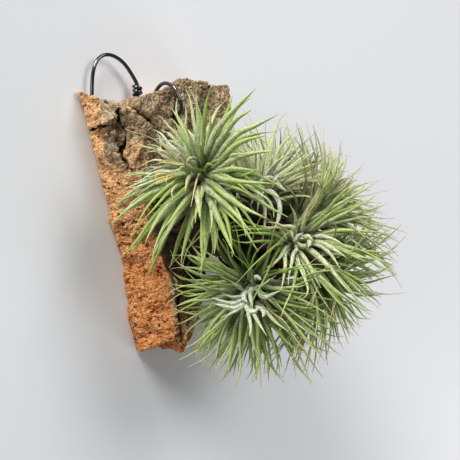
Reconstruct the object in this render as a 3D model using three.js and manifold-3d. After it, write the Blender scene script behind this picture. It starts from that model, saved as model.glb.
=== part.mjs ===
// A clump of ionantha air plants on a wedge of raw cork bark, with a loop of black wire to hang it by.
// Millimetres. The bark lies on its flat back, with the plants on top. +Z points out of the bark's face, +Y
// towards the hanging loop, and the origin is on the flat back, under the plants.
import * as THREE from "three";
import { mergeVertices } from "three/addons/utils/BufferGeometryUtils.js";
import Module from "manifold-3d";

const wasm = await Module();
wasm.setup();

const at = (x, y, z) => new THREE.Vector3(x, y, z);
const { lerp, clamp, degToRad } = THREE.MathUtils;

// Driving dimensions

const BARK_THICKNESS = 20.5;
const BARK_FOOT_Y = -48;
const WIRE_RADIUS = 0.75;
const GAP = 0.35; // between pieces that touch
const TABLE_GAP = 2.5; // lowest that a leaf hangs above the table
const SLIVER = 0.02; // faces thinner than this are merged into their neighbours

const STEM_LENGTH = 15; // of a rosette, from its foot to its youngest leaf
const STEM_RADIUS = 4.6;
const BLADE_THICKNESS = 1;
const BLADE_TIP_THICKNESS = 0.6;

// Each rosette's foot, the way that it faces, and its leaves' number, reach and width
function rosetteOf(name, foot, towards, leaves, reach, width) {
  return { name, foot, towards: towards.normalize(), leaves, reach, width, blades: [] };
}

const ROSETTES = [
  rosetteOf("rosette_front", at(-5, 14, 41), at(-0.85, 0.2, 0.49), 58, 35, 3.9),
  rosetteOf("rosette_top", at(11.5, 3, 47.5), at(-0.29, 0.74, 0.61), 50, 37, 2.9),
  rosetteOf("rosette_crest", at(10.5, -7.5, 62), at(-0.34, 0.1, 0.93), 54, 39, 2.9),
  rosetteOf("rosette_low", at(5, -20, 54), at(-0.74, -0.43, 0.52), 56, 36, 2.9),
  rosetteOf("rosette_right", at(24.5, -1.5, 56.5), at(0.43, 0.55, 0.72), 46, 37, 2.7),
  rosetteOf("rosette_side", at(23, -15, 59), at(0.25, -0.52, 0.82), 46, 37, 2.7),
  rosetteOf("rosette_back", at(24, 3, 39), at(0.95, 0.25, 0.1), 44, 34, 2.8),
  rosetteOf("rosette_foot", at(17, -19, 41), at(0.5, -0.84, 0.12), 44, 34, 2.8),
];

// The old stems rise from where they are set into the bark, and fork to the rosettes
const STEMS_FOOT = at(4, -2, BARK_THICKNESS - 2);
const STEMS_FORK = at(10, -6, 41);
const TRUNK_RADII = [11, 8];
const LIMB_RADII = [5, 3.4];

// The bark's outline: [y, x] for its sides, and [x, y] for its broken top edge
const BARK_LEFT = [
  [-48, -4], [-40, -7.5], [-30, -9.5], [-20, -11], [-14, -13], [-9, -13.5], [0, -17.5], [8, -20.5],
  [18, -23.5], [30, -27], [34, -30], [43, -32], [50, -35.5],
];
const BARK_RIGHT = [[-48, 8], [-44, 10], [-20, 17], [0, 23], [20, 28.5], [40, 34], [50, 34.5], [56, 32]];
const BARK_TOP = [
  [-36, 50], [-28, 44.5], [-21, 47], [-11, 49.5], [-6.5, 50.5], [-4, 49.5], [-1.5, 51], [0.5, 56],
  [9, 55.7], [18.5, 55], [21.5, 54], [28, 55.8], [32, 54.5], [35, 50],
];
// How far the left side leans to the right from back to face, as [y, x]
const BARK_LEAN = [[-48, 3], [-34, 4.5], [-10, 8], [7, 5], [19, -1.5], [45, -1]];
const HORN_DROP = 6; // of the top edge at the far left, from back to face
const LUMP_RISE = 3; // of the top edge in the middle, from back to face
const SHOULDER_RISE = 5.5; // of the top edge to the right of the wire, from back to face
const BARK_CELLS = [16, 21, 4]; // across, along and through

// The cracks, each by points on the surface, its width, its depth and the way in
const INTO_FACE = at(0, 0, -1);
const INTO_FACE_AND_RIGHT = at(0.3, 0, -1);
const INTO_LEFT_SIDE = at(1, -0.15, 0);
const CRACKS = [
  {
    points: [
      at(-31, 49, 20), at(-30, 41, 21), at(-28.5, 33, 21), at(-27, 25, 21), at(-23, 18, 21), at(-16, 12, 20),
    ],
    width: 3.6, depth: 10, inward: INTO_FACE_AND_RIGHT,
  },
  {
    points: [at(-28, 46, 20), at(-24, 43, 21), at(-19, 39.5, 21), at(-11, 34, 21), at(-3, 29, 21)],
    width: 3.4, depth: 8, inward: INTO_FACE,
  },
  {
    points: [at(-2, 55, 20), at(-1, 47, 21), at(-1.5, 40, 21), at(2, 33, 21), at(4, 24, 21), at(9, 13, 21)],
    width: 3.6, depth: 8, inward: INTO_FACE,
  },
  {
    points: [at(16, 58, 20), at(17, 46, 21), at(14, 36, 21), at(16, 24, 21), at(21, 12, 21)],
    width: 3, depth: 6, inward: INTO_FACE,
  },
  {
    points: [at(23, 26, 21), at(20, 10, 21), at(20, -6, 21), at(14, -22, 21)],
    width: 3, depth: 6, inward: INTO_FACE,
  },
  {
    points: [at(-4, -12, 21), at(0, -24, 21), at(1, -36, 21), at(4, -49, 20)],
    width: 3, depth: 6, inward: INTO_FACE,
  },
  {
    points: [at(-32, 33, -3), at(-32, 33.3, 5), at(-31, 34.5, 12), at(-29, 36, 18), at(-27, 38, 22)],
    width: 3.4, depth: 8, inward: INTO_LEFT_SIDE,
  },
];

// The wire's route: from its hole in the bark's face, over the top edge, round in the chip behind it, up
// through the knot, and over the arch to its hole behind the horn
const WIRE_ROUTE = [
  at(-1.5, 41, 9), at(-1.5, 41, 15), at(-1.6, 41.2, 21), at(-2.4, 42.8, 24), at(-3.3, 46.5, 24.3),
  at(-4.2, 50.8, 22.6), at(-4.6, 53, 19), at(-4.4, 53, 15.5), at(-3.9, 51, 12.2), at(-3.3, 47.6, 9.2),
  at(-3, 44.6, 6.2), at(-3.6, 43, 4.4), at(-5, 42.9, 3.9), at(-6.2, 44.8, 4.2), at(-6.7, 48, 4.6),
  at(-6.9, 53, 4.7), at(-10.7, 58, 4.7), at(-14.8, 61.5, 4.7), at(-19.3, 63.4, 4.4), at(-23.4, 63.4, 4.2),
  at(-26.6, 61.5, 3.9), at(-28.5, 58, 3.7), at(-29.2, 53, 3.5), at(-29.2, 46.5, 3.4), at(-28.2, 39, 3.3),
];
const KNOT_FOOT = at(-6.7, 49.4, 4.6);
const KNOT_TOP = at(-7, 53.2, 4.7);
const KNOT_TURNS = 2.4;
const TAIL_END = at(-9.6, 49.2, 6);

// Shared helpers

// A repeatable draw from 0 to 1
function draw(seed, index) {
  const wave = Math.sin(seed * 12.9898 + index * 78.233) * 43758.5453;
  return wave - Math.floor(wave);
}

// Reads a value off a list of [place, value] knots, with straight runs between them
function along(knots, place) {
  if (place <= knots[0][0]) return knots[0][1];
  for (let i = 1; i < knots.length; i++) {
    const [before, low] = knots[i - 1];
    const [after, high] = knots[i];
    if (place <= after) return lerp(low, high, (place - before) / (after - before));
  }
  return knots[knots.length - 1][1];
}

function solidOf(geometry) {
  const bare = new THREE.BufferGeometry().setAttribute("position", geometry.getAttribute("position"));
  bare.setIndex(geometry.index);
  const merged = mergeVertices(bare, 1e-4);
  const vertProperties = merged.attributes.position.array;
  const triVerts = new Uint32Array(merged.index.array);
  return new wasm.Manifold(new wasm.Mesh({ numProp: 3, vertProperties, triVerts }));
}

function meshOf(name, solid, material) {
  const { vertProperties, triVerts } = solid.getMesh();
  const geometry = new THREE.BufferGeometry();
  geometry.setAttribute("position", new THREE.BufferAttribute(vertProperties, 3));
  geometry.setIndex(new THREE.BufferAttribute(triVerts, 1));
  geometry.computeVertexNormals();
  const mesh = new THREE.Mesh(geometry, material);
  mesh.name = name;
  return mesh;
}

// The one body that is left when slivers of faces are merged, loose scraps dropped and sealed hollows filled
function wholeOf(solid) {
  const bodies = solid.simplify(SLIVER).decompose();
  return bodies.sort((a, b) => b.volume() - a.volume())[0];
}

// Turns a shape that stands along +Y so that it points another way, and moves it
function pointed(geometry, towards, place) {
  geometry.applyQuaternion(new THREE.Quaternion().setFromUnitVectors(at(0, 1, 0), towards));
  return geometry.translate(...place);
}

// Skins a row of rings of points, closes its start, and draws its end in to the tip, or closes it flat if it
// has none. Each ring turns anticlockwise about the row's direction.
function skin(rings, tip) {
  const sides = rings[0].length;
  const points = rings.flat();
  const last = points.length - sides;
  const faces = [];
  for (let here = 0; here < last; here += sides) {
    for (let j = 0; j < sides; j++) {
      const a = here + j;
      const b = here + ((j + 1) % sides);
      faces.push(a, b, b + sides, a, b + sides, a + sides);
    }
  }
  for (let j = 1; j + 1 < sides; j++) faces.push(0, j + 1, j);
  if (tip) {
    for (let j = 0; j < sides; j++) faces.push(last + j, last + ((j + 1) % sides), points.length);
    points.push(tip);
  } else {
    for (let j = 1; j + 1 < sides; j++) faces.push(last, last + j, last + j + 1);
  }
  return solidOf(new THREE.BufferGeometry().setFromPoints(points).setIndex(faces));
}

// A tapering round bar between two points
function bar(from, to, [fromRadius, toRadius], sides) {
  const geometry = new THREE.CylinderGeometry(toRadius, fromRadius, from.distanceTo(to), sides);
  return solidOf(pointed(geometry, to.clone().sub(from).normalize(), from.clone().lerp(to, 0.5)));
}

function ball(centre, radii) {
  const geometry = new THREE.IcosahedronGeometry(1, 1);
  return solidOf(geometry.scale(...radii).translate(...centre));
}

// The cork bark

// How the bark's face rises and falls: long plates of cork, broken into lumps
function barkRelief(x, y) {
  const plates = Math.sin(x * 0.42 + 1.3 * Math.sin(y * 0.09)) * Math.cos(y * 0.13 + x * 0.08);
  const lumps = Math.sin(x * 0.9 + y * 0.35) * Math.sin(y * 0.55 - x * 0.3 + 1.1);
  return 1.7 * plates + 1.1 * lumps;
}

// Where the bark's top edge is broken off, with its horn highest at the back and its middle lumps at the face
function barkTop(x, depth) {
  const horn = clamp((-22 - x) / 10, 0, 1);
  const middle = clamp((x + 26) / 6, 0, 1) * clamp((4 - x) / 6, 0, 1);
  const shoulder = clamp((x + 4) / 4, 0, 1) * clamp((15 - x) / 8, 0, 1);
  const rise = LUMP_RISE * middle + SHOULDER_RISE * shoulder;
  return along(BARK_TOP, x) - HORN_DROP * horn * depth - rise * (1 - depth);
}

// The uncracked wedge, bent out of a box. Its sides and ends are broken, not sawn, so they swell, shrink and
// round over towards the face, and its back is flat but for its edges.
function barkBlank() {
  const geometry = new THREE.BoxGeometry(2, 2, 1, ...BARK_CELLS).translate(0, 0, 0.5);
  const places = geometry.getAttribute("position");
  const acrossAt = (y, across) => lerp(along(BARK_LEFT, y), along(BARK_RIGHT, y), (across + 1) / 2);
  for (let i = 0; i < places.count; i++) {
    const across = places.getX(i);
    const upward = (places.getY(i) + 1) / 2;
    const depth = places.getZ(i);
    const level = lerp(BARK_FOOT_Y, 50, upward);
    let y = lerp(BARK_FOOT_Y, barkTop(acrossAt(level, across), depth), upward);
    let x = acrossAt(y, across) + along(BARK_LEAN, y) * depth * ((1 - across) / 2);
    const swell = Math.sin(y * 0.5 + depth * 3) + 0.7 * Math.sin(y * 0.23 + 2 - depth * 2);
    const side = Math.sign(across) * Math.abs(across) ** 6;
    x += side * (0.8 * swell * (depth > 0 ? 1 : 0.5) - 1.2 * depth ** 3);
    y += 2.2 * (1 - upward) ** 6 * Math.sin(x * 0.45 + depth * 2);
    const rim = Math.max(Math.abs(across), 1 - 2 * upward);
    const back = 1.2 * clamp(6 * rim - 5, 0, 1);
    const face = BARK_THICKNESS + barkRelief(x, y) - 3.2 * rim ** 10;
    places.setXYZ(i, x, y, lerp(back, face, depth));
  }
  return solidOf(geometry);
}

// A crack is a wedge, widest and deepest half way along, that starts above the surface
function crack({ points, width, depth, inward }) {
  const down = inward.clone().normalize();
  const above = 6;
  const rings = points.map((point, i) => {
    const run = points[Math.min(i + 1, points.length - 1)].clone().sub(points[Math.max(i - 1, 0)]);
    const beside = run.cross(down).normalize();
    const size = 0.35 + 0.65 * Math.sin((Math.PI * (i + 0.5)) / points.length);
    const halfTop = (width / 2) * size * (1 + above / depth);
    const lip = point.clone().addScaledVector(down, -above);
    return [
      lip.clone().addScaledVector(beside, halfTop),
      lip.clone().addScaledVector(beside, -halfTop),
      point.clone().addScaledVector(down, depth * size),
    ];
  });
  return skin(rings);
}

// The chip that is broken out of the back's top edge, which leaves room for the wire to turn
function backChip() {
  const geometry = new THREE.BoxGeometry(14, 26, 14);
  return solidOf(geometry.rotateX(degToRad(30)).translate(-5, 54.5, -5.2));
}

// The hanging wire

function tube(route, radius, sides, steps) {
  const section = new THREE.Shape();
  for (let i = 0; i < sides; i++) {
    const turn = (2 * Math.PI * i) / sides;
    section[i ? "lineTo" : "moveTo"](radius * Math.cos(turn), radius * Math.sin(turn));
  }
  const extrudePath = new THREE.CatmullRomCurve3(route, false, "centripetal");
  return solidOf(new THREE.ExtrudeGeometry(section, { steps, extrudePath, bevelEnabled: false }));
}

// The wire's clipped end, which is wound round its own standing part
function knotRoute() {
  const steps = 8 * KNOT_TURNS;
  const route = [TAIL_END];
  for (let i = 0; i <= steps; i++) {
    const turn = Math.PI + (2 * Math.PI * i) / 8;
    const centre = KNOT_FOOT.clone().lerp(KNOT_TOP, i / steps);
    route.push(centre.add(at(Math.cos(turn), 0, Math.sin(turn)).multiplyScalar(1.75 * WIRE_RADIUS)));
  }
  return route;
}

function hangingWire(extra) {
  const standing = tube(WIRE_ROUTE, WIRE_RADIUS + extra, 8, 40);
  return standing.add(tube(knotRoute(), 0.95 * WIRE_RADIUS + extra, 6, 22));
}

// The old stems: woody, brown and rooted in the bark

const limbEnd = ({ foot, towards }) => foot.clone().addScaledVector(towards, -0.3 * STEM_RADIUS);

function oldStems(extra) {
  const grown = (radii) => radii.map((radius) => radius + extra);
  const limbs = ROSETTES.map((rosette) => bar(STEMS_FORK, limbEnd(rosette), grown(LIMB_RADII), 6));
  const trunk = bar(STEMS_FOOT, STEMS_FORK, grown(TRUNK_RADII), 9);
  const fork = ball(STEMS_FORK, grown([9, 9, 7]));
  const roots = ball(STEMS_FOOT.clone().setZ(BARK_THICKNESS), grown([17, 20, 5]));
  return wasm.Manifold.union([...limbs, trunk, fork, roots]);
}

// Room for the leaves

// How far a point is out of the bark, taken as a plain tapering slab
function barkDistance(point) {
  const beside = Math.max(along(BARK_LEFT, point.y) - point.x, point.x - along(BARK_RIGHT, point.y));
  const beyond = Math.max(BARK_FOOT_Y - point.y, point.y - 52);
  const outside = [beside, beyond, point.z - BARK_THICKNESS - 3.2];
  return Math.hypot(...outside.map((distance) => Math.max(distance, 0))) + Math.min(Math.max(...outside), 0);
}

function barDistance(point, from, to, [fromRadius, toRadius]) {
  const share = new THREE.Line3(from, to).closestPointToPointParameter(point, true);
  return point.distanceTo(from.clone().lerp(to, share)) - lerp(fromRadius, toRadius, share);
}

// How far a point stands clear of the table, the bark, the wire and the old stems
function clearance(point) {
  const distances = [
    point.z - TABLE_GAP,
    barkDistance(point),
    barDistance(point, STEMS_FOOT, STEMS_FORK, TRUNK_RADII) - 1.5,
    ...WIRE_ROUTE.map((wire) => point.distanceTo(wire) - WIRE_RADIUS - 1.6),
    ...ROSETTES.map((rosette) => barDistance(point, STEMS_FORK, limbEnd(rosette), LIMB_RADII)),
  ];
  return Math.min(...distances);
}

// The space that the stems and the leaves grown so far take up: points with a half width, kept by the cell of
// a coarse grid that they lie in
const CELL = 7;
const taken = new Map();
const cellOf = (point) => point.toArray().map((value) => Math.floor(value / CELL));

function take(point, rosette, share, half) {
  const key = cellOf(point).join();
  if (!taken.has(key)) taken.set(key, []);
  taken.get(key).push({ point, rosette, share, half });
}

// A leaf keeps clear of the other rosettes' leaves all along, and of its own rosette's past their roots
const ROOT_SHARE = 0.2;
const OWN_SPACING = 1.8;

function isFree(point, rosette, share, half) {
  const [x, y, z] = cellOf(point);
  for (let i = 0; i < 27; i++) {
    const key = [x - 1 + (i % 3), y - 1 + (Math.floor(i / 3) % 3), z - 1 + Math.floor(i / 9)].join();
    for (const other of taken.get(key) ?? []) {
      const own = other.rosette === rosette;
      if (own && Math.min(share, other.share) < ROOT_SHARE) continue;
      const apart = own ? OWN_SPACING : half + other.half + GAP + 0.25;
      if (point.distanceTo(other.point) < apart) return false;
    }
  }
  return true;
}

// The leaves

const LEAF_STEPS = 18;
const SECTION_STEPS = 6; // from one section of a leaf to the next
const GOLDEN_ANGLE = degToRad(137.508);

// A leaf widens from its root, and then tapers to a point
const taper = (share) => (share < 0.3 ? lerp(0.5, 1, share / 0.3) : (1 - (share - 0.3) / 0.7) ** 0.8);

// The middle line of a leaf, straight between its sections. It leaves the stem at one angle to the rosette's
// axis and turns outwards to another, and both are wider the older it is.
function leafLine(rosette, outward, age, lean, reach) {
  const start = degToRad(lerp(8, 62, age)) * lean;
  const end = degToRad(lerp(16, 138, age)) * lean;
  const point = rosette.foot.clone().addScaledVector(rosette.towards, STEM_LENGTH * lerp(0.84, 0.08, age));
  point.addScaledVector(outward, STEM_RADIUS * lerp(0.2, 0.6, age));
  const curve = [point.clone()];
  for (let i = 0; i < LEAF_STEPS; i++) {
    const angle = lerp(start, end, 1 - (1 - (i + 0.5) / LEAF_STEPS) ** 1.5);
    point.addScaledVector(rosette.towards, (reach / LEAF_STEPS) * Math.cos(angle));
    point.addScaledVector(outward, (reach / LEAF_STEPS) * Math.sin(angle));
    curve.push(point.clone());
  }
  return curve.map((_, i) => {
    const before = i - (i % SECTION_STEPS);
    const after = Math.min(before + SECTION_STEPS, LEAF_STEPS);
    return curve[before].clone().lerp(curve[after], (i - before) / SECTION_STEPS);
  });
}

// One leaf: a keeled blade
function blade(line, beside, width) {
  const rings = [];
  for (let i = 0; i < LEAF_STEPS; i += SECTION_STEPS) {
    const share = i / LEAF_STEPS;
    const run = line[i + 1].clone().sub(line[Math.max(i - 1, 0)]);
    const under = run.cross(beside).normalize();
    const half = (width * taper(share)) / 2;
    rings.push([
      line[i].clone().addScaledVector(beside, half),
      line[i].clone().addScaledVector(under, lerp(BLADE_THICKNESS, BLADE_TIP_THICKNESS, share)),
      line[i].clone().addScaledVector(beside, -half),
    ]);
  }
  return skin(rings, line[LEAF_STEPS]);
}

function fits(line, rosette, width) {
  return line.every((point, i) => {
    const share = i / LEAF_STEPS;
    const half = (width * taper(share)) / 2;
    return (share < ROOT_SHARE || clearance(point) > half + GAP) && isFree(point, rosette, share, half);
  });
}

// Grows one more leaf, as far outwards and as long as its neighbours leave room for
function grow(rosette, seed, k) {
  const { foot, towards, leaves, blades } = rosette;
  const age = clamp(k / (leaves - 1) + 0.05 * (draw(seed, k + 200) - 0.5), 0, 1);
  const reach = rosette.reach * lerp(0.55, 1, Math.min(1, 2 * age)) * lerp(0.9, 1.06, draw(seed, k + 100));
  const width = rosette.width * lerp(0.7, 1, Math.min(1, 2.5 * age)) * lerp(0.9, 1.04, draw(seed, k + 300));
  const first = at(0.31, 0.53, 0.79).cross(towards).normalize();
  for (const part of [1, 0.86, 0.72]) {
    for (let lean = 1; lean > 0.35; lean -= 0.08) {
      for (const swing of [0, 5, -5]) {
        const outward = first.clone().applyAxisAngle(towards, k * GOLDEN_ANGLE + degToRad(swing));
        const line = leafLine(rosette, outward, age, lean, reach * part);
        if (!fits(line, rosette, width)) continue;
        line.forEach((point, i) => take(point, rosette, i / LEAF_STEPS, (width * taper(i / LEAF_STEPS)) / 2));
        blades.push(blade(line, towards.clone().cross(outward).normalize(), width));
        return;
      }
    }
  }
}

// A rosette's own stem, which its leaves' roots are sunk into
function stem({ foot, towards }, extra) {
  const profile = [
    [0, -2.5 - extra], [3.4 + extra, -1 - extra], [STEM_RADIUS + extra, 3],
    [3.6 + extra, 9], [0, STEM_LENGTH],
  ];
  const outline = profile.map(([radius, height]) => new THREE.Vector2(radius, height));
  return solidOf(pointed(new THREE.LatheGeometry(outline, 7), towards, foot));
}

// All the rosettes grow together, from their youngest leaves to their oldest
function growRosettes() {
  for (const rosette of ROSETTES) {
    for (let height = -1; height < STEM_LENGTH; height += 2) {
      take(rosette.foot.clone().addScaledVector(rosette.towards, height), rosette, 0, STEM_RADIUS);
    }
  }
  const most = Math.max(...ROSETTES.map((rosette) => rosette.leaves));
  for (let k = 0; k < most; k++) {
    ROSETTES.forEach((rosette, i) => k < rosette.leaves && grow(rosette, i + 1, k));
  }
}

// Materials

const corkTan = new THREE.MeshStandardMaterial({ color: 0xb98352, roughness: 0.95, metalness: 0 });
const wireBlack = new THREE.MeshStandardMaterial({ color: 0x14161a, roughness: 0.28, metalness: 0.3 });
const stemBrown = new THREE.MeshStandardMaterial({ color: 0x3d2c1d, roughness: 0.95, metalness: 0 });
const leafGreen = new THREE.MeshStandardMaterial({ color: 0x8fa86c, roughness: 0.7, metalness: 0 });

// The whole

const clump = new THREE.Group();

growRosettes();
const hollows = [...CRACKS.map(crack), backChip(), hangingWire(GAP), oldStems(GAP)];
const bark = hollows.reduce((solid, hollow) => solid.subtract(hollow), barkBlank());
clump.add(meshOf("cork_bark", wholeOf(bark), corkTan));
clump.add(meshOf("hanging_wire", hangingWire(0), wireBlack));
const stems = ROSETTES.reduce((solid, rosette) => solid.subtract(stem(rosette, GAP)), oldStems(0));
clump.add(meshOf("old_stems", wholeOf(stems), stemBrown));
for (const rosette of ROSETTES) {
  const leaves = wasm.Manifold.union([stem(rosette, 0), ...rosette.blades]);
  clump.add(meshOf(rosette.name, wholeOf(leaves), leafGreen));
}

export default clump;
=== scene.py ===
"""Dresses a clump of ionantha air plants that grows on a wedge of raw cork bark.

Objects are in metres. Numbers that describe the plants, the bark and the wire are in millimetres, and MM turns
them into metres.
"""

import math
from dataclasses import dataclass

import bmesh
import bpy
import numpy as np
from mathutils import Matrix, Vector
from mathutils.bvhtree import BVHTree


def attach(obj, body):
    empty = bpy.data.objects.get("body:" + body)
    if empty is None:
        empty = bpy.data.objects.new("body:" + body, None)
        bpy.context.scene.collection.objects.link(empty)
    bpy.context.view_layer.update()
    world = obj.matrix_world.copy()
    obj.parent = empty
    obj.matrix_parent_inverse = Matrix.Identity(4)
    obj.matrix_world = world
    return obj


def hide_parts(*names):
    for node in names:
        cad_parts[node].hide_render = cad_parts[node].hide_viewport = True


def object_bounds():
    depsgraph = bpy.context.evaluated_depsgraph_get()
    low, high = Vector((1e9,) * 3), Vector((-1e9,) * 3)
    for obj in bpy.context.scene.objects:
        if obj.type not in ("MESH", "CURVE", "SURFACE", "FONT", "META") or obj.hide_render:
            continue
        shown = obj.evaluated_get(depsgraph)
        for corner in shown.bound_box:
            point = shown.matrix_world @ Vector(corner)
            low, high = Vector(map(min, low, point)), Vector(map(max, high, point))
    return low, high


bl_info = {
    "name": "Air Plant Clump",
    "version": (1, 0, 0),
    "blender": (4, 5, 0),
    "location": "3D View > Sidebar > Air Plants",
    "description": "Makes an air plant clump on cork bark, with its wire loop and a plain stage",
    "category": "Object",
}

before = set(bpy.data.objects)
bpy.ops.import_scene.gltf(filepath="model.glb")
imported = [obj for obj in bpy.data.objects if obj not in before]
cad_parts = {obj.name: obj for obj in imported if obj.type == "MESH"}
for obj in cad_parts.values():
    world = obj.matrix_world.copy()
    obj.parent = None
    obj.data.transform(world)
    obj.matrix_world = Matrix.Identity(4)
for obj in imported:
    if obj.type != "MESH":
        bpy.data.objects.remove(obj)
CAD_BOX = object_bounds()

MM = 0.001
OVERHANG = 1.5  # of the leaves past the solids' box
BOX = np.array(CAD_BOX) / MM + [[-OVERHANG], [OVERHANG]]
BODY = "root"

# The picture's own axes: its right, and the way out of it to the camera. Its up is Y.

CAMERA_TILT = math.radians(48)
PICTURE_RIGHT = np.array((math.cos(CAMERA_TILT), 0, math.sin(CAMERA_TILT)))
PICTURE_OUT = np.array((-math.sin(CAMERA_TILT), 0, math.cos(CAMERA_TILT)))

# The stems and the rosettes

STEM_LENGTH = 15.0  # of a rosette, from its foot to its youngest leaf
STEM_RADIUS = 4.6
STEMS_FOOT = np.array((4.0, -2.0, 18.5))
STEMS_FORK = np.array((10.0, -6.0, 41.0))
# Round this middle, the leaves, dead leaves and old stems are painted with shade
HOLLOW = (3.0, -5.0, 50.0)  # the dark middle between the rosettes
TRUNK_RADII = (11.0, 8.0)
LIMB_RADII = (5.0, 3.4)


def unit(vector):
    return np.asarray(vector, float) / np.linalg.norm(vector)


@dataclass
class Rosette:
    """One rosette. Ways with two numbers are ways out from its eye in the picture, to the right and up."""

    name: str
    foot: tuple  # of its stem
    towards: tuple  # the way that it faces
    leaves: int
    reach: float
    width: float
    silver: float = 0.0
    young_silver: float = 0.4  # what its youngest leaves have besides
    # How far its leaves are painted paler: painted light on the rosettes that stand in the most light
    warmth: float = 0.0
    dryness: float = 0.1  # the longest dry tip, as a share of its leaf
    rounds: int = 3  # in which its leaves are grown
    open_eye: int = 0  # how many of its youngest leaves aren't there
    spread: float = 20  # of the young leaves' tips, in degrees
    lift: float = 0.6  # how steeply the curls at the eye stand out
    bare: tuple = ()  # the ways where no leaves stand, each with how narrow its sector is
    frosted: tuple = None  # the way where the leaves are finer, shorter and more silvery
    shaded: tuple = None  # the way where they stand in the others' shade, and are narrower, greener and fewer
    shorter: tuple = None  # the way where they are only shorter
    strands: int = 3  # dead leaves that have withered to threads
    unruly: float = 1.2  # how much its leaves bend and wave
    weight: float = 0.18  # how far its leaves hang over, as a share of their reach

    def __post_init__(self):
        self.foot = np.array(self.foot, float)
        self.towards = unit(self.towards)
        self.limb_end = self.foot - 0.3 * STEM_RADIUS * self.towards
        self.first = unit(np.cross((0.31, 0.53, 0.79), self.towards))

    def outward(self, degrees):
        """The way out from the stem's axis at a turn round it"""
        turn = math.radians(degrees)
        return self.first * math.cos(turn) + np.cross(self.towards, self.first) * math.sin(turn)


ROSETTES = (
    Rosette(
        "front", (-5, 14, 41), (-0.85, 0.2, 0.49), 58, 35, 4.1,
        silver=0.1, young_silver=-0.3, dryness=0.04, rounds=4, open_eye=6, spread=30, lift=1.0,
        frosted=(-0.75, 0.66), strands=2, unruly=1.0, weight=0.55,
    ),
    Rosette(
        "top", (11.5, 3, 47.5), (-0.29, 0.74, 0.61), 50, 37, 2.9,
        silver=0.33, warmth=0.4, open_eye=7, spread=30, lift=0.9, strands=9, unruly=1.6,
        bare=(((0.6, -0.8), 0.77), ((-0.2, -0.98), 0.8)), shaded=(-0.9, -0.4),
    ),
    Rosette(
        "crest", (10.5, -7.5, 62), (-0.34, 0.1, 0.93), 54, 39, 2.9,
        silver=0.12, warmth=0.15, open_eye=14, spread=45, unruly=1.6,
        bare=(((-0.4, 0.92), 0.77), ((-0.66, -0.75), 0.9)), shaded=(-0.98, 0.15), strands=5,
    ),
    Rosette(
        "low", (5, -20, 54), (-0.74, -0.43, 0.52), 56, 36, 2.9,
        silver=0.05, warmth=0.1, rounds=4, open_eye=13, spread=45, lift=0.75, unruly=1.7, weight=0.2,
        shorter=(-0.98, 0.15), shaded=(0.2, 0.98),
    ),
    Rosette(
        "right", (24.5, -1.5, 56.5), (0.43, 0.55, 0.72), 46, 37, 2.7,
        silver=0.35, warmth=0.5, strands=7, unruly=1.7,
    ),
    Rosette(
        "side", (23, -15, 59), (0.25, -0.52, 0.82), 46, 37, 2.7,
        silver=0.15, warmth=0.25, unruly=1.7,
    ),
    Rosette("back", (24, 3, 39), (0.95, 0.25, 0.1), 44, 34, 2.8, silver=0.2, warmth=0.2),
    Rosette("foot", (17, -19, 41), (0.5, -0.84, 0.12), 44, 34, 2.8, silver=0.1),
)

# Leaves that are placed one by one: the curled ones at the eyes, and the front rosette's broad ones. Each has
# half of its width, its silver, how dry it is, and the points that it goes through, in millimetres to the
# right and up from its rosette's eye, as the picture shows them.

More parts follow.
